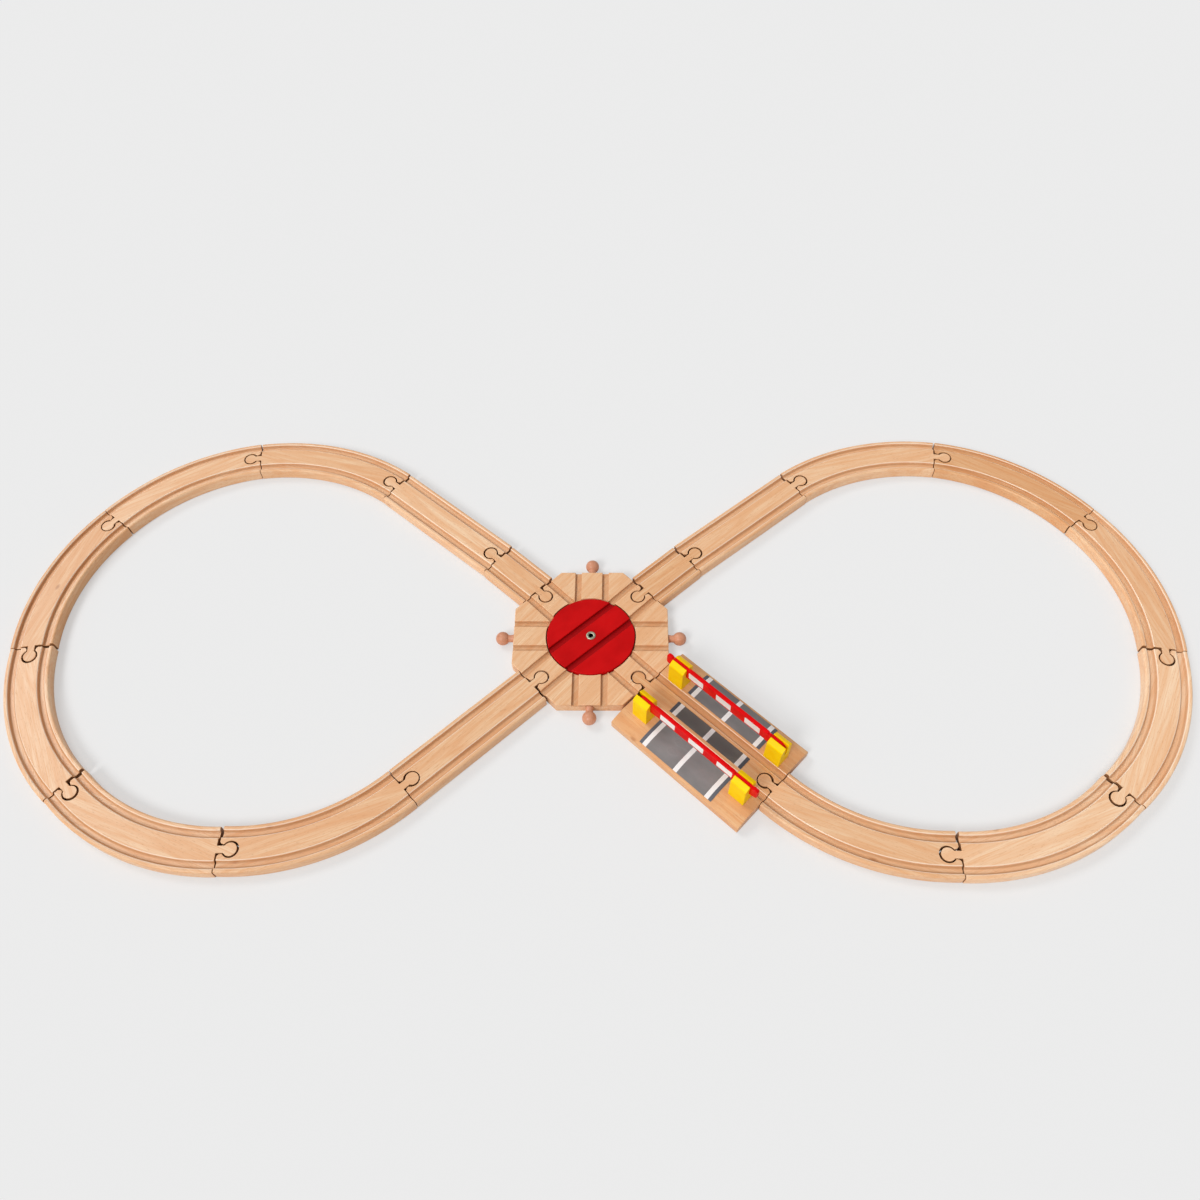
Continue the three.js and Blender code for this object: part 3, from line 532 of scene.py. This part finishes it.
def rod(radius, bottom, top, segments):
    """A round bar along z."""
    bm = bmesh.new()
    bmesh.ops.create_cone(
        bm, cap_ends=True, segments=segments, radius1=radius, radius2=radius, depth=top - bottom,
        matrix=Matrix.Translation((0.0, 0.0, (bottom + top) / 2)),
    )
    return bm


def lathe(bm, segments):
    """Turns an open chain of edges in the xz plane about z."""
    bmesh.ops.spin(
        bm, geom=bm.verts[:] + bm.edges[:], cent=(0, 0, 0), axis=(0, 0, 1), angle=2 * pi, steps=segments,
        use_merge=True,
    )
    bmesh.ops.remove_doubles(bm, verts=bm.verts, dist=MERGE_DISTANCE)
    bmesh.ops.recalc_face_normals(bm, faces=bm.faces)
    return bm


def chain(bm, points):
    """An open chain of edges through points."""
    verts = [bm.verts.new(point) for point in points]
    for pair in zip(verts, verts[1:]):
        bm.edges.new(pair)
    return verts


def swept(bm, start, centre, axis, angle, steps):
    """Spins one vertex into an arc and gives the arc's vertices in order."""
    before = len(bm.verts)
    bmesh.ops.spin(bm, geom=[start], cent=centre, axis=axis, angle=angle, steps=steps)
    bm.verts.ensure_lookup_table()
    return [start] + bm.verts[before:]


def moved(bm, x, y, z=0.0, heading=0.0):
    """Turns a shape about z and moves it."""
    matrix = Matrix.Translation((x, y, z)) @ Matrix.Rotation(heading, 4, "Z")
    bmesh.ops.transform(bm, matrix=matrix, verts=bm.verts)
    return bm


def on_both_sides(half):
    """Corners of half a section and their mirror images."""
    return half + [((x, -y, z), size) for (x, y, z), size in reversed(half)]


def keyhole(middle, radius, neck, mouth_corners, bottom, top):
    """A round head with a neck to the mouth, from bottom to top."""
    bm = bmesh.new()
    lean = asin(neck / radius)
    first = bm.verts.new((middle - radius * cos(lean), -neck, bottom))
    head = swept(bm, first, (middle, 0.0, bottom), (0, 0, 1), 2 * (pi - lean), KEYHOLE_STEPS)
    left = [bm.verts.new((x, y, bottom)) for x, y in mouth_corners]
    right = [bm.verts.new((x, -y, bottom)) for x, y in reversed(mouth_corners)]
    bm.faces.new(head + left + right)
    return drawn_out(bm, (0.0, 0.0, top - bottom))


def peg(x, y, heading):
    """A puzzle peg that grows out of an end face."""
    shape = keyhole(PEG_REACH, PEG_RADIUS, PEG_NECK, [(-PEG_ROOT, PEG_NECK)], 0.0, TRACK_HEIGHT)
    return as_object(moved(shape, x, y, heading=heading))


def socket(x, y, heading):
    """The cutter for the socket that takes a peg."""
    shoulder = [
        (SOCKET_SHOULDER, SOCKET_MOUTH),
        (0.0, SOCKET_MOUTH + SOCKET_SHOULDER),
        (-CUT_PAST, SOCKET_MOUTH + SOCKET_SHOULDER),
    ]
    shape = keyhole(
        SOCKET_MIDDLE, SOCKET_RADIUS, SOCKET_THROAT, shoulder, -CUT_PAST, TRACK_HEIGHT + CUT_PAST,
    )
    return as_object(moved(shape, x, y, heading=heading))


def groove_bit(start, end, side, heading):
    """The cutter for a wheel groove along a spoke: round-cornered floor, lips flared at the top."""
    top = TRACK_HEIGHT - 0.01
    flare = GROOVE_HALF + CUT_LIP + 0.05
    bm = outline(on_both_sides([
        ((start, GROOVE_HALF, GROOVE_FLOOR), CUT_FLOOR),
        ((start, GROOVE_HALF, top), CUT_LIP),
        ((start, flare, top), 0.0),
        ((start, flare, TRACK_HEIGHT + CUT_PAST), 0.0),
    ]))
    drawn_out(bm, (end - start, 0.0, 0.0))
    moved(bm, 0.0, side)
    return as_object(moved(bm, 0.0, 0.0, heading=heading))


# Placing

plank_lot = random.Random(11)
TONES = {
    "turntable": 0.4, "crossing": 0.75, "short_straight_left": 0.45, "short_straight_right": 0.6,
    "straight_upper_left": 0.2, "straight_upper_right": 0.35, "straight_lower_left": 0.45,
    "curve_left_1": 0.4, "curve_left_2": 0.3, "curve_left_3": 0.55, "curve_left_4": 0.25,
    "curve_left_5": 0.35, "curve_left_6": 0.45, "curve_right_1": 0.3, "curve_right_2": 0.7,
    "curve_right_3": 0.35, "curve_right_4": 0.0, "curve_right_5": 0.05, "curve_right_6": 0.4,
}


def floor_shade(down, flat):
    """Milled tone and painted shade in a groove: clear at its lips, deep in its corners, less on its flat
    floor.
    """
    if down > GROOVE_DEPTH - 0.05:
        return flat
    return max(0.0, min(CORNER_SHADE, (down - SHADE_START) / SHADE_REACH))


def milled_depth(co, along, across, length):
    """Depth of milled tone and painted shade of a point in a groove, or 2 on the sawn wall of an end, a
    peg or a socket: darker end grain with the painted shade of the gaps. The lips of the grooves have
    -1, a painted highlight."""
    down = min(abs(TRACK_HEIGHT - co.z), abs(co.z))
    at_end = abs(along) < 0.02 or abs(along - length) < 0.02
    if down > END_ROUND / 2 and (at_end or abs(across) < GROOVE_INNER - LIP_ROUND - 0.1):
        return 2.0
    at_lip = GROOVE_INNER - LIP_ROUND < abs(across) < GROOVE_OUTER + LIP_ROUND
    if at_lip and LIP_HIGHLIGHT_TOP < down < LIP_HIGHLIGHT_BOTTOM:
        return -1.0
    if not GROOVE_INNER - 0.1 < abs(across) < GROOVE_OUTER + 0.1:
        return 0.0
    return floor_shade(down, TRACK_FLOOR_SHADE)


def put(name, bm, place, finish, body, nodes=(), turn=0.0, milled=None):
    """Finishes a piece: smooth shading, its plank's grain and tone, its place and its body."""
    for face in bm.faces:
        face.smooth = True
    for edge in bm.edges:
        edge.smooth = not edge.is_manifold or edge.calc_face_angle(0.0) < SHARP
    offset = Vector([plank_lot.uniform(-400, 400) for _ in range(3)])
    tone = TONES.get(body, 0.0)
    along = Matrix.Rotation(turn, 4, "Z")
    grain = [(along @ v.co + offset) * MM for v in bm.verts]
    road = [v.co * MM for v in bm.verts]
    # Milled tone, painted shade and painted highlight of each point
    depth = [milled(v.co) if milled else 0.0 for v in bm.verts]
    x, y, heading = place
    matrix = (
        Matrix.Translation(MIDDLE + MM * Vector((x, y, 0.0)))
        @ Matrix.Rotation(radians(heading), 4, "Z")
        @ Matrix.Scale(MM, 4)
    )
    bmesh.ops.transform(bm, matrix=matrix, verts=bm.verts)
    mesh = bpy.data.meshes.new(name)
    bm.to_mesh(mesh)
    bm.free()
    for key, vectors in (("grain", grain), ("road", road)):
        layer = mesh.attributes.new(key, "FLOAT_VECTOR", "POINT")
        layer.data.foreach_set("vector", [c for vector in vectors for c in vector])
    for key, numbers in (("tone", [tone] * len(depth)), ("milled", depth)):
        layer = mesh.attributes.new(key, "FLOAT", "POINT")
        layer.data.foreach_set("value", numbers)
    mesh.materials.append(finish)
    obj = bpy.data.objects.new(name, mesh)
    bpy.context.scene.collection.objects.link(obj)
    flat = obj.modifiers.new("flat_faces_stay_flat", "WEIGHTED_NORMAL")
    flat.keep_sharp = True
    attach(obj, body)
    if nodes:
        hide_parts(*nodes)
    return obj


# Track pieces

def track_section():
    """Deck, two grooves on each face and rounded rails."""
    top, floor = TRACK_HEIGHT, GROOVE_FLOOR
    return on_both_sides([
        ((0.0, GROOVE_INNER, 0.0), LIP_ROUND),
        ((0.0, GROOVE_INNER, GROOVE_DEPTH), FLOOR_ROUND),
        ((0.0, GROOVE_OUTER, GROOVE_DEPTH), FLOOR_ROUND),
        ((0.0, GROOVE_OUTER, 0.0), LIP_ROUND),
        ((0.0, TRACK_HALF, 0.0), RAIL_ROUND),
        ((0.0, TRACK_HALF, top), RAIL_ROUND),
        ((0.0, GROOVE_OUTER, top), LIP_ROUND),
        ((0.0, GROOVE_OUTER, floor), FLOOR_ROUND),
        ((0.0, GROOVE_INNER, floor), FLOOR_ROUND),
        ((0.0, GROOVE_INNER, top), LIP_ROUND),
    ])


def lay_straight(name, place, length, socket_at_start):
    """A straight with a peg at its end, and a socket or another peg at its start."""
    bar = as_object(drawn_out(outline(track_section()), (length, 0.0, 0.0)), name)
    if socket_at_start:
        combine(bar, [socket(0.0, 0.0, 0.0)], "DIFFERENCE")
    else:
        combine(bar, [peg(0.0, 0.0, pi)], "UNION")
    combine(bar, [peg(length, 0.0, 0.0)], "UNION")
    bm = reopened(bar)
    rounded(bm, outer_edges(bm), END_ROUND, 2)
    put(name + "_planed", bm, place, PLANED_BEECH, name, [name],
        milled=lambda co: milled_depth(co, co.x, co.y, length))


def curve_depth(co, side):
    """The same for a curve, measured along its arc."""
    out = CURVE_RADIUS - side * co.y
    along = CURVE_RADIUS * atan2(co.x, out)
    return milled_depth(co, along, hypot(co.x, out) - CURVE_RADIUS, CURVE_RADIUS * CURVE_ANGLE)


def lay_curve(name, place, side):
    """A curve sawn from a straight plank, so its grain runs along the chord."""
    bm = outline(track_section())
    centre = Vector((0.0, side * CURVE_RADIUS, 0.0))
    bmesh.ops.spin(
        bm, geom=bm.faces[:], cent=centre, axis=(0, 0, 1), angle=side * CURVE_ANGLE, steps=CURVE_STEPS,
    )
    bar = as_object(bm, name)
    combine(bar, [socket(0.0, 0.0, 0.0)], "DIFFERENCE")
    end_x = CURVE_RADIUS * sin(CURVE_ANGLE)
    end_y = side * CURVE_RADIUS * (1 - cos(CURVE_ANGLE))
    combine(bar, [peg(end_x, end_y, side * CURVE_ANGLE)], "UNION")
    bm = reopened(bar)
    rounded(bm, outer_edges(bm), END_ROUND, 2)
    put(name + "_planed", bm, place, PLANED_BEECH, name, [name], turn=-side * CURVE_ANGLE / 2,
        milled=lambda co: curve_depth(co, side))


for name, place in {**LEFT_LOOP, **RIGHT_LOOP}.items():
    if name.startswith("curve"):
        lay_curve(name, place, 1 if "left" in name else -1)
    elif name.startswith("short"):
        lay_straight(name, place, SHORT_LENGTH, False)
    else:
        lay_straight(name, place, STRAIGHT_LENGTH, True)


# Turntable

def tallness(face):
    """How far a face reaches from its lowest to its highest point."""
    heights = [v.co.z for v in face.verts]
    return max(heights) - min(heights)


def spoke_depth(co):
    """Depth of painted shade, with the milled tone in wood, of a point in a groove of the turntable."""
    if co.z < GROOVE_FLOOR - 0.5:
        return 0.0
    return floor_shade(TRACK_HEIGHT - co.z, TURNTABLE_FLOOR_SHADE)


def base_depth(co):
    """The same for the base, or 2 on the wall of the recess or a socket: darker sawn wood with the
    painted shade of the gaps around the disc and in the sockets.
    """
    inside = END_ROUND / 2 < co.z < TRACK_HEIGHT - END_ROUND / 2
    if co.z < GROOVE_FLOOR - 0.5 and co.xy.length < RECESS_RADIUS + 0.1:
        return 2.0
    if inside and any(abs(co.y * cos(a) - co.x * sin(a)) < GROOVE_INNER - 0.5 for a in SOCKET_SPOKES):
        return 2.0
    return spoke_depth(co)


def turntable_base():
    """An octagon with eight grooved spokes, a round recess, four sockets and four bores for pegs."""
    bm = bmesh.new()
    corner = TURNTABLE_REACH / cos(pi / 8)
    bmesh.ops.create_cone(
        bm, cap_ends=True, segments=8, radius1=corner, radius2=corner, depth=TRACK_HEIGHT,
        matrix=Matrix.Translation((0, 0, TRACK_HEIGHT / 2)) @ Matrix.Rotation(pi / 8, 4, "Z"),
    )
    rounded(bm, outer_edges(bm), TURNTABLE_EDGE, 3)
    base = as_object(bm, "turntable_base")
    cutters = [
        as_object(rod(RIVET_HOLE, -CUT_PAST, TRACK_HEIGHT, HOLE_STEPS)),
        as_object(rod(COUNTERBORE_RADIUS, -CUT_PAST, COUNTERBORE_DEPTH, HOLE_STEPS)),
    ]
    for heading in SOCKET_SPOKES:
        cutters.append(socket(TURNTABLE_REACH * cos(heading), TURNTABLE_REACH * sin(heading), heading + pi))
    for heading in PEG_SPOKES:
        bottom = TURNTABLE_REACH - TENON_DEPTH - 0.1
        bore = rod(BALL_NECK + 0.2, bottom, TURNTABLE_REACH + CUT_PAST, HOLE_STEPS)
        bmesh.ops.rotate(bore, verts=bore.verts, cent=(0, 0, 0), matrix=Matrix.Rotation(pi / 2, 3, "Y"))
        moved(bore, 0.0, 0.0, BALL_HEIGHT)
        cutters.append(as_object(moved(bore, 0.0, 0.0, heading=heading)))
    for heading in SOCKET_SPOKES + PEG_SPOKES:
        for side in (-GROOVE_MIDDLE, GROOVE_MIDDLE):
            cutters.append(groove_bit(SPOKE_START, TURNTABLE_REACH + CUT_PAST, side, heading))
    recess = bmesh.new()
    chain(recess, [
        (0.0, 0.0, RECESS_FLOOR),
        (RECESS_RADIUS, 0.0, RECESS_FLOOR),
        (RECESS_RADIUS, 0.0, TRACK_HEIGHT - 0.7),
        (RECESS_RADIUS + 0.2, 0.0, TRACK_HEIGHT - 0.2),
        (RECESS_RADIUS + 0.7, 0.0, TRACK_HEIGHT),
        (RECESS_RADIUS + 0.7, 0.0, TRACK_HEIGHT + CUT_PAST),
        (0.0, 0.0, TRACK_HEIGHT + CUT_PAST),
    ])
    cutters.append(as_object(lathe(recess, DISC_STEPS)))
    for cutter in cutters:
        combine(base, [cutter], "DIFFERENCE")
    bm = reopened(base)
    rims = [e for e in outer_edges(bm) if max(tallness(face) for face in e.link_faces) > TRACK_HEIGHT * 0.7]
    rounded(bm, rims, END_ROUND, 2)
    put("turntable_base_planed", bm, TURNTABLE, PLANED_BEECH, "turntable", ["turntable_base"],
        turn=-radians(50), milled=base_depth)


def ball_peg(side, heading):
    """A turned peg: tenon, neck with a small flare at the base's side, and ball."""
    bm = bmesh.new()
    lean = asin(BALL_NECK / BALL_RADIUS)
    neck_end = BALL_REACH - BALL_RADIUS * cos(lean)
    stem = chain(bm, [
        (0.0, 0.0, -TENON_DEPTH),
        (BALL_NECK, 0.0, -TENON_DEPTH),
        (BALL_NECK, 0.0, 0.1),
        (BALL_NECK + 0.35, 0.0, 0.3),
        (BALL_NECK + 0.1, 0.0, 1.2),
        (BALL_NECK - 0.15, 0.0, neck_end * 0.6),
        (BALL_NECK, 0.0, neck_end),
    ])
    swept(bm, stem[-1], (0.0, 0.0, BALL_REACH), (0, -1, 0), pi - lean, 26)
    lathe(bm, TURNED_STEPS)
    matrix = (
        Matrix.Rotation(heading, 4, "Z")
        @ Matrix.Translation((TURNTABLE_REACH, 0.0, BALL_HEIGHT))
        @ Matrix.Rotation(pi / 2, 4, "Y")
    )
    bmesh.ops.transform(bm, matrix=matrix, verts=bm.verts)
    put(f"turntable_peg_{side}_turned", bm, TURNTABLE, TURNED_BEECH, "turntable",
        [f"turntable_peg_{side}"], turn=-heading)


def turntable_disc():
    """The disc with its rounded rim, two grooves and a hole for the rivet."""
    bm = rod(DISC_RADIUS, DISC_BOTTOM, TRACK_HEIGHT, DISC_STEPS)
    rounded(bm, outer_edges(bm), DISC_EDGE, 3)
    disc = as_object(bm, "turntable_disc")
    reach = DISC_RADIUS + CUT_PAST
    cutters = [groove_bit(-reach, reach, side, DISC_TURN) for side in (-GROOVE_MIDDLE, GROOVE_MIDDLE)]
    cutters.append(as_object(rod(RIVET_HOLE, 0.0, TRACK_HEIGHT + CUT_PAST, HOLE_STEPS)))
    combine(disc, cutters, "DIFFERENCE")
    put("turntable_disc_painted", reopened(disc), TURNTABLE, RED_PAINT, "disc",
        ["turntable_disc"], turn=-DISC_TURN, milled=spoke_depth)


def rivet():
    """A rivet with a flat head below and a tubular end rolled over on top of the disc."""
    bm = bmesh.new()
    shank = chain(bm, [
        (0.0, 0.0, RIVET_HEAD_LOW),
        (RIVET_HEAD, 0.0, RIVET_HEAD_LOW),
        (RIVET_HEAD, 0.0, RIVET_HEAD_HIGH),
        (RIVET_SHANK, 0.0, RIVET_HEAD_HIGH),
        (RIVET_SHANK, 0.0, RIVET_TOP),
        (RIVET_ROLL, 0.0, RIVET_TOP),
    ])
    roll = swept(bm, shank[-1], ((RIVET_ROLL + RIVET_BORE) / 2, 0.0, RIVET_TOP), (0, -1, 0), pi, 14)
    bmesh.ops.scale(
        bm, verts=roll, vec=(1.0, 1.0, ROLL_SQUASH), space=Matrix.Translation((0.0, 0.0, -RIVET_TOP)),
    )
    floor = chain(bm, [(RIVET_BORE, 0.0, RIVET_BORE_FLOOR), (0.0, 0.0, RIVET_BORE_FLOOR)])
    bm.edges.new((roll[-1], floor[0]))
    # The bore is marked for its painted shade
    put("turntable_rivet_rolled", lathe(bm, TURNED_STEPS), TURNTABLE, RIVET_BRASS, "turntable",
        ["turntable_rivet"],
        milled=lambda co: 1.0 if co.xy.length < RIVET_BORE + 0.15 and co.z < RIVET_TOP + 0.1 else 0.0)


turntable_base()
for quarter, side in enumerate(("east", "north", "west", "south")):
    ball_peg(side, quarter * pi / 2)
turntable_disc()
rivet()


# Level crossing

def ramp_arc(bm, side, lift, start_angle, end_angle):
    """Vertices along the rounded top of a ramp, from one angle to another."""
    centre = (ROAD_START, side * RAMP_START, TRACK_HEIGHT - RAMP_RADIUS)
    radius = RAMP_RADIUS + lift
    out, up = side * radius * sin(start_angle), radius * cos(start_angle)
    start = bm.verts.new((ROAD_START, centre[1] + out, centre[2] + up))
    return swept(bm, start, centre, (-side, 0, 0), end_angle - start_angle, RAMP_STEPS)


def crossing_plate():
    """The wide plate with its rounded ramps, two grooves, a socket and a peg."""
    steep = asin((RAMP_END - RAMP_START) / RAMP_RADIUS)
    reach = RAMP_RADIUS * (1 - cos(steep)) / sin(steep)
    bm = outline(on_both_sides([
        ((0.0, PLATE_HALF, 0.0), PLATE_EDGE / 2),
        ((0.0, PLATE_HALF, PLATE_SIDE - PLATE_EDGE * 0.35), PLATE_EDGE * 0.8),
        ((0.0, RAMP_END + 0.2, PLATE_SIDE), 0.0),
        ((0.0, RAMP_START + reach, TRACK_HEIGHT), reach * 0.99),
        ((0.0, GROOVE_OUTER, TRACK_HEIGHT), LIP_ROUND),
        ((0.0, GROOVE_OUTER, GROOVE_FLOOR), FLOOR_ROUND),
        ((0.0, GROOVE_INNER, GROOVE_FLOOR), FLOOR_ROUND),
        ((0.0, GROOVE_INNER, TRACK_HEIGHT), LIP_ROUND),
    ]), 6)
    plate = as_object(drawn_out(bm, (STRAIGHT_LENGTH, 0.0, 0.0)), "crossing_plate")
    combine(plate, [socket(0.0, 0.0, 0.0)], "DIFFERENCE")
    combine(plate, [peg(STRAIGHT_LENGTH, 0.0, 0.0)], "UNION")
    bm = reopened(plate)
    rounded(bm, outer_edges(bm), END_ROUND, 2)
    put("crossing_plate_planed", bm, CROSSING, PLANED_BEECH, "crossing", ["crossing_plate"],
        milled=lambda co: milled_depth(co, STRAIGHT_LENGTH / 2, co.y, STRAIGHT_LENGTH))


def ramp_film(name, side, finish):
    """A printed film from beside the groove down the ramp."""
    bm = bmesh.new()
    steep = asin((FILM_OUTER - RAMP_START) / RAMP_RADIUS)
    low, high = FILM_GAP, FILM_GAP + FILM_THICKNESS
    below = [bm.verts.new((ROAD_START, side * FILM_INNER, TRACK_HEIGHT + low))]
    below += ramp_arc(bm, side, low, 0.0, steep)
    above = ramp_arc(bm, side, high, steep, 0.0)
    above.append(bm.verts.new((ROAD_START, side * FILM_INNER, TRACK_HEIGHT + high)))
    bm.faces.new(below + above)
    drawn_out(bm, (ROAD_END - ROAD_START, 0.0, 0.0))
    put(f"road_decal_{name}_film", bm, CROSSING, finish, "crossing", [f"road_decal_{name}"])


def centre_film():
    """The printed film between the grooves."""
    low, high = TRACK_HEIGHT + FILM_GAP, TRACK_HEIGHT + FILM_GAP + FILM_THICKNESS
    bm = outline(on_both_sides([
        ((ROAD_START, CENTRE_FILM_HALF, low), 0.0),
        ((ROAD_START, CENTRE_FILM_HALF, high), 0.1),
    ]))
    drawn_out(bm, (ROAD_END - ROAD_START, 0.0, 0.0))
    put("road_decal_centre_film", bm, CROSSING, CENTRE_FILM, "crossing", ["road_decal_centre"])


def barrier_post(name, x, y):
    """A forked post with sloping shoulders."""
    start = -POST_LENGTH / 2
    bm = outline(on_both_sides([
        ((start, POST_HALF, 0.0), 0.0),
        ((start, POST_HALF, POST_SHOULDER), 0.9),
        ((start, SLOT_HALF + 0.8, POST_HEIGHT), 0.3),
        ((start, SLOT_HALF, POST_HEIGHT), 0.25),
        ((start, SLOT_HALF, SLOT_FLOOR), 0.6),
    ]))
    drawn_out(bm, (POST_LENGTH, 0.0, 0.0))
    rims = [e for e in outer_edges(bm) if max(v.co.z for v in e.verts) > 0.01]
    rounded(bm, rims, 0.5, 3)
    put(f"barrier_post_{name}_moulded", moved(bm, x, y, POST_BASE), CROSSING, YELLOW_ABS,
        "crossing", [f"barrier_post_{name}"])


def slab(left, right, low, high, corner, half, edge):
    """A slab with rounded corners that stands along x, its faces towards y."""
    bm = outline([
        ((left, -half, low), corner), ((right, -half, low), corner),
        ((right, -half, high), corner), ((left, -half, high), corner),
    ], 8)
    drawn_out(bm, (0.0, 2 * half, 0.0))
    if edge:
        rounded(bm, outer_edges(bm), edge, 3)
    return as_object(bm)


def at_pivot(bm, side):
    """From the arm's own pivot to the crossing."""
    if side == "front":
        return moved(bm, POST_FAR, POST_OFFSET, POST_BASE + PIVOT, pi)
    return moved(bm, POST_NEAR, -POST_OFFSET, POST_BASE + PIVOT)


def barrier_arm(side):
    """A red arm: round tail on its trunnion, blade, thin neck for the far post and a rounded tip."""
    round_end = TAIL_RADIUS - 0.02
    low, high = -TAIL_RADIUS, TAIL_RADIUS
    arm = slab(-TAIL_RADIUS, BLADE_START + TAIL_RADIUS, low, high, round_end, TONGUE_HALF, 0.3)
    trunnion = rod(TRUNNION_RADIUS, -TRUNNION_REACH, TRUNNION_REACH, 32)
    bmesh.ops.rotate(trunnion, verts=trunnion.verts, cent=(0, 0, 0), matrix=Matrix.Rotation(pi / 2, 3, "X"))
    combine(arm, [
        slab(BLADE_START, BLADE_END, BLADE_LOW, BLADE_HIGH, 1.6, BLADE_HALF, BLADE_EDGE),
        slab(BLADE_END - TAIL_RADIUS, TIP_START + TAIL_RADIUS, low, high, round_end, TONGUE_HALF, 0.3),
        slab(TIP_START, TIP_END, BLADE_LOW, BLADE_HIGH, 2.6, BLADE_HALF, BLADE_EDGE),
        as_object(trunnion),
    ], "UNION")
    put(f"barrier_arm_{side}_moulded", at_pivot(reopened(arm), side), CROSSING, RED_ABS,
        f"barrier_{side}", [f"barrier_arm_{side}"])


def white_patch(side, number, face):
    """A white printed patch on one face of the blade, its ends slanted."""
    middle = PATCH_MIDDLES[number]
    low, high = BLADE_LOW + 2.2, BLADE_HIGH - 1.9
    start = face * (BLADE_HALF + 0.01)
    bm = outline([
        ((middle - PATCH_HALF, start, low), 0.8),
        ((middle + PATCH_HALF, start, low), 0.8),
        ((middle + PATCH_HALF + PATCH_SLANT, start, high), 0.8),
        ((middle - PATCH_HALF + PATCH_SLANT, start, high), 0.8),
    ])
    drawn_out(bm, (0.0, face * 0.1, 0.0))
    where = "outer" if face > 0 else "inner"
    put(f"white_patch_{side}_{where}_{number + 1}", at_pivot(bm, side), CROSSING, WHITE_INK,
        f"barrier_{side}")


crossing_plate()
ramp_film("front", 1, FRONT_FILM)
ramp_film("back", -1, BACK_FILM)
centre_film()
barrier_post("front_right", POST_NEAR, POST_OFFSET)
barrier_post("front_left", POST_FAR, POST_OFFSET)
barrier_post("back_right", POST_NEAR, -POST_OFFSET)
barrier_post("back_left", POST_FAR, -POST_OFFSET)
for side in ("front", "back"):
    barrier_arm(side)
    for number in range(len(PATCH_MIDDLES)):
        for face in (-1, 1):
            white_patch(side, number, face)


# Floor, light and camera

def studio_floor():
    """A plain pale floor, half of it seen as plain paper colour, so that the shadows on it stay light."""
    material, tree, shader = new_material("studio_paper_pale")
    shader.inputs["Base Color"].default_value = linear(PAPER)
    shader.inputs["Roughness"].default_value = 0.9
    shader.inputs["Specular IOR Level"].default_value = 0.0
    seen = add(tree, "ShaderNodeLightPath", "Is Camera Ray")
    share = add(tree, "ShaderNodeMath", 0, {"operation": "MULTIPLY"}, {0: seen, 1: 0.5})
    glow = add(tree, "ShaderNodeEmission", "Emission", {}, {"Color": linear(PAPER)})
    paper = add(tree, "ShaderNodeMixShader", 0, {}, {0: share, 1: shader.outputs["BSDF"], 2: glow})
    tree.links.new(paper, tree.nodes["Material Output"].inputs["Surface"])
    bm = bmesh.new()
    bmesh.ops.create_grid(bm, x_segments=1, y_segments=1, size=FLOOR_SIZE)
    bmesh.ops.translate(bm, verts=bm.verts, vec=(0.0, 0.0, -FLOOR_DROP))
    mesh = bpy.data.meshes.new("studio_floor")
    bm.to_mesh(mesh)
    bm.free()
    mesh.materials.append(material)
    floor = bpy.data.objects.new("studio_floor", mesh)
    bpy.context.scene.collection.objects.link(floor)


def studio_light():
    """Even sky light and two soft lamps on the left, one in front and one behind."""
    world = bpy.data.worlds.new("studio_sky")
    world.use_nodes = True
    tree = world.node_tree
    sky = tree.nodes["Background"]
    sky.inputs["Color"].default_value = (1.0, 1.0, 1.0, 1.0)
    sky.inputs["Strength"].default_value = SKY_STRENGTH
    seen = add(tree, "ShaderNodeLightPath", "Is Camera Ray")
    wall = add(tree, "ShaderNodeBackground", "Background", {}, {"Color": linear(PAPER)})
    around = add(tree, "ShaderNodeMixShader", 0, {}, {0: seen, 1: sky.outputs["Background"], 2: wall})
    tree.links.new(around, tree.nodes["World Output"].inputs["Surface"])
    bpy.context.scene.world = world
    for name, energy, width, heading in LAMPS:
        sun = bpy.data.lights.new(name, "SUN")
        sun.energy = energy
        sun.angle = radians(width)
        lamp = bpy.data.objects.new(name, sun)
        lamp.rotation_euler = Vector(heading).to_track_quat("-Z", "Y").to_euler()
        bpy.context.scene.collection.objects.link(lamp)


def camera():
    """The photograph's viewpoint."""
    level = Vector((cos(CAMERA_YAW), -sin(CAMERA_YAW), 0.0))
    forward = Vector((sin(CAMERA_YAW), cos(CAMERA_YAW), 0.0))
    ahead = cos(CAMERA_PITCH) * forward - sin(CAMERA_PITCH) * Vector((0.0, 0.0, 1.0))
    upward = level.cross(ahead)
    right = cos(CAMERA_ROLL) * level + sin(CAMERA_ROLL) * upward
    up = -sin(CAMERA_ROLL) * level + cos(CAMERA_ROLL) * upward
    lens = bpy.data.cameras.new("camera")
    lens.sensor_width = SENSOR_MM
    lens.lens = CAMERA_FOCAL_PIXELS / IMAGE_PIXELS * SENSOR_MM
    lens.clip_start = 0.01
    viewpoint = bpy.data.objects.new("camera", lens)
    turn = Matrix((right, up, -ahead)).transposed().to_4x4()
    viewpoint.matrix_world = Matrix.Translation(MIDDLE + MM * Vector(CAMERA_PLACE)) @ turn
    bpy.context.scene.collection.objects.link(viewpoint)
    bpy.context.scene.camera = viewpoint


studio_floor()
studio_light()
camera()
bpy.context.scene.view_settings.view_transform = "Standard"
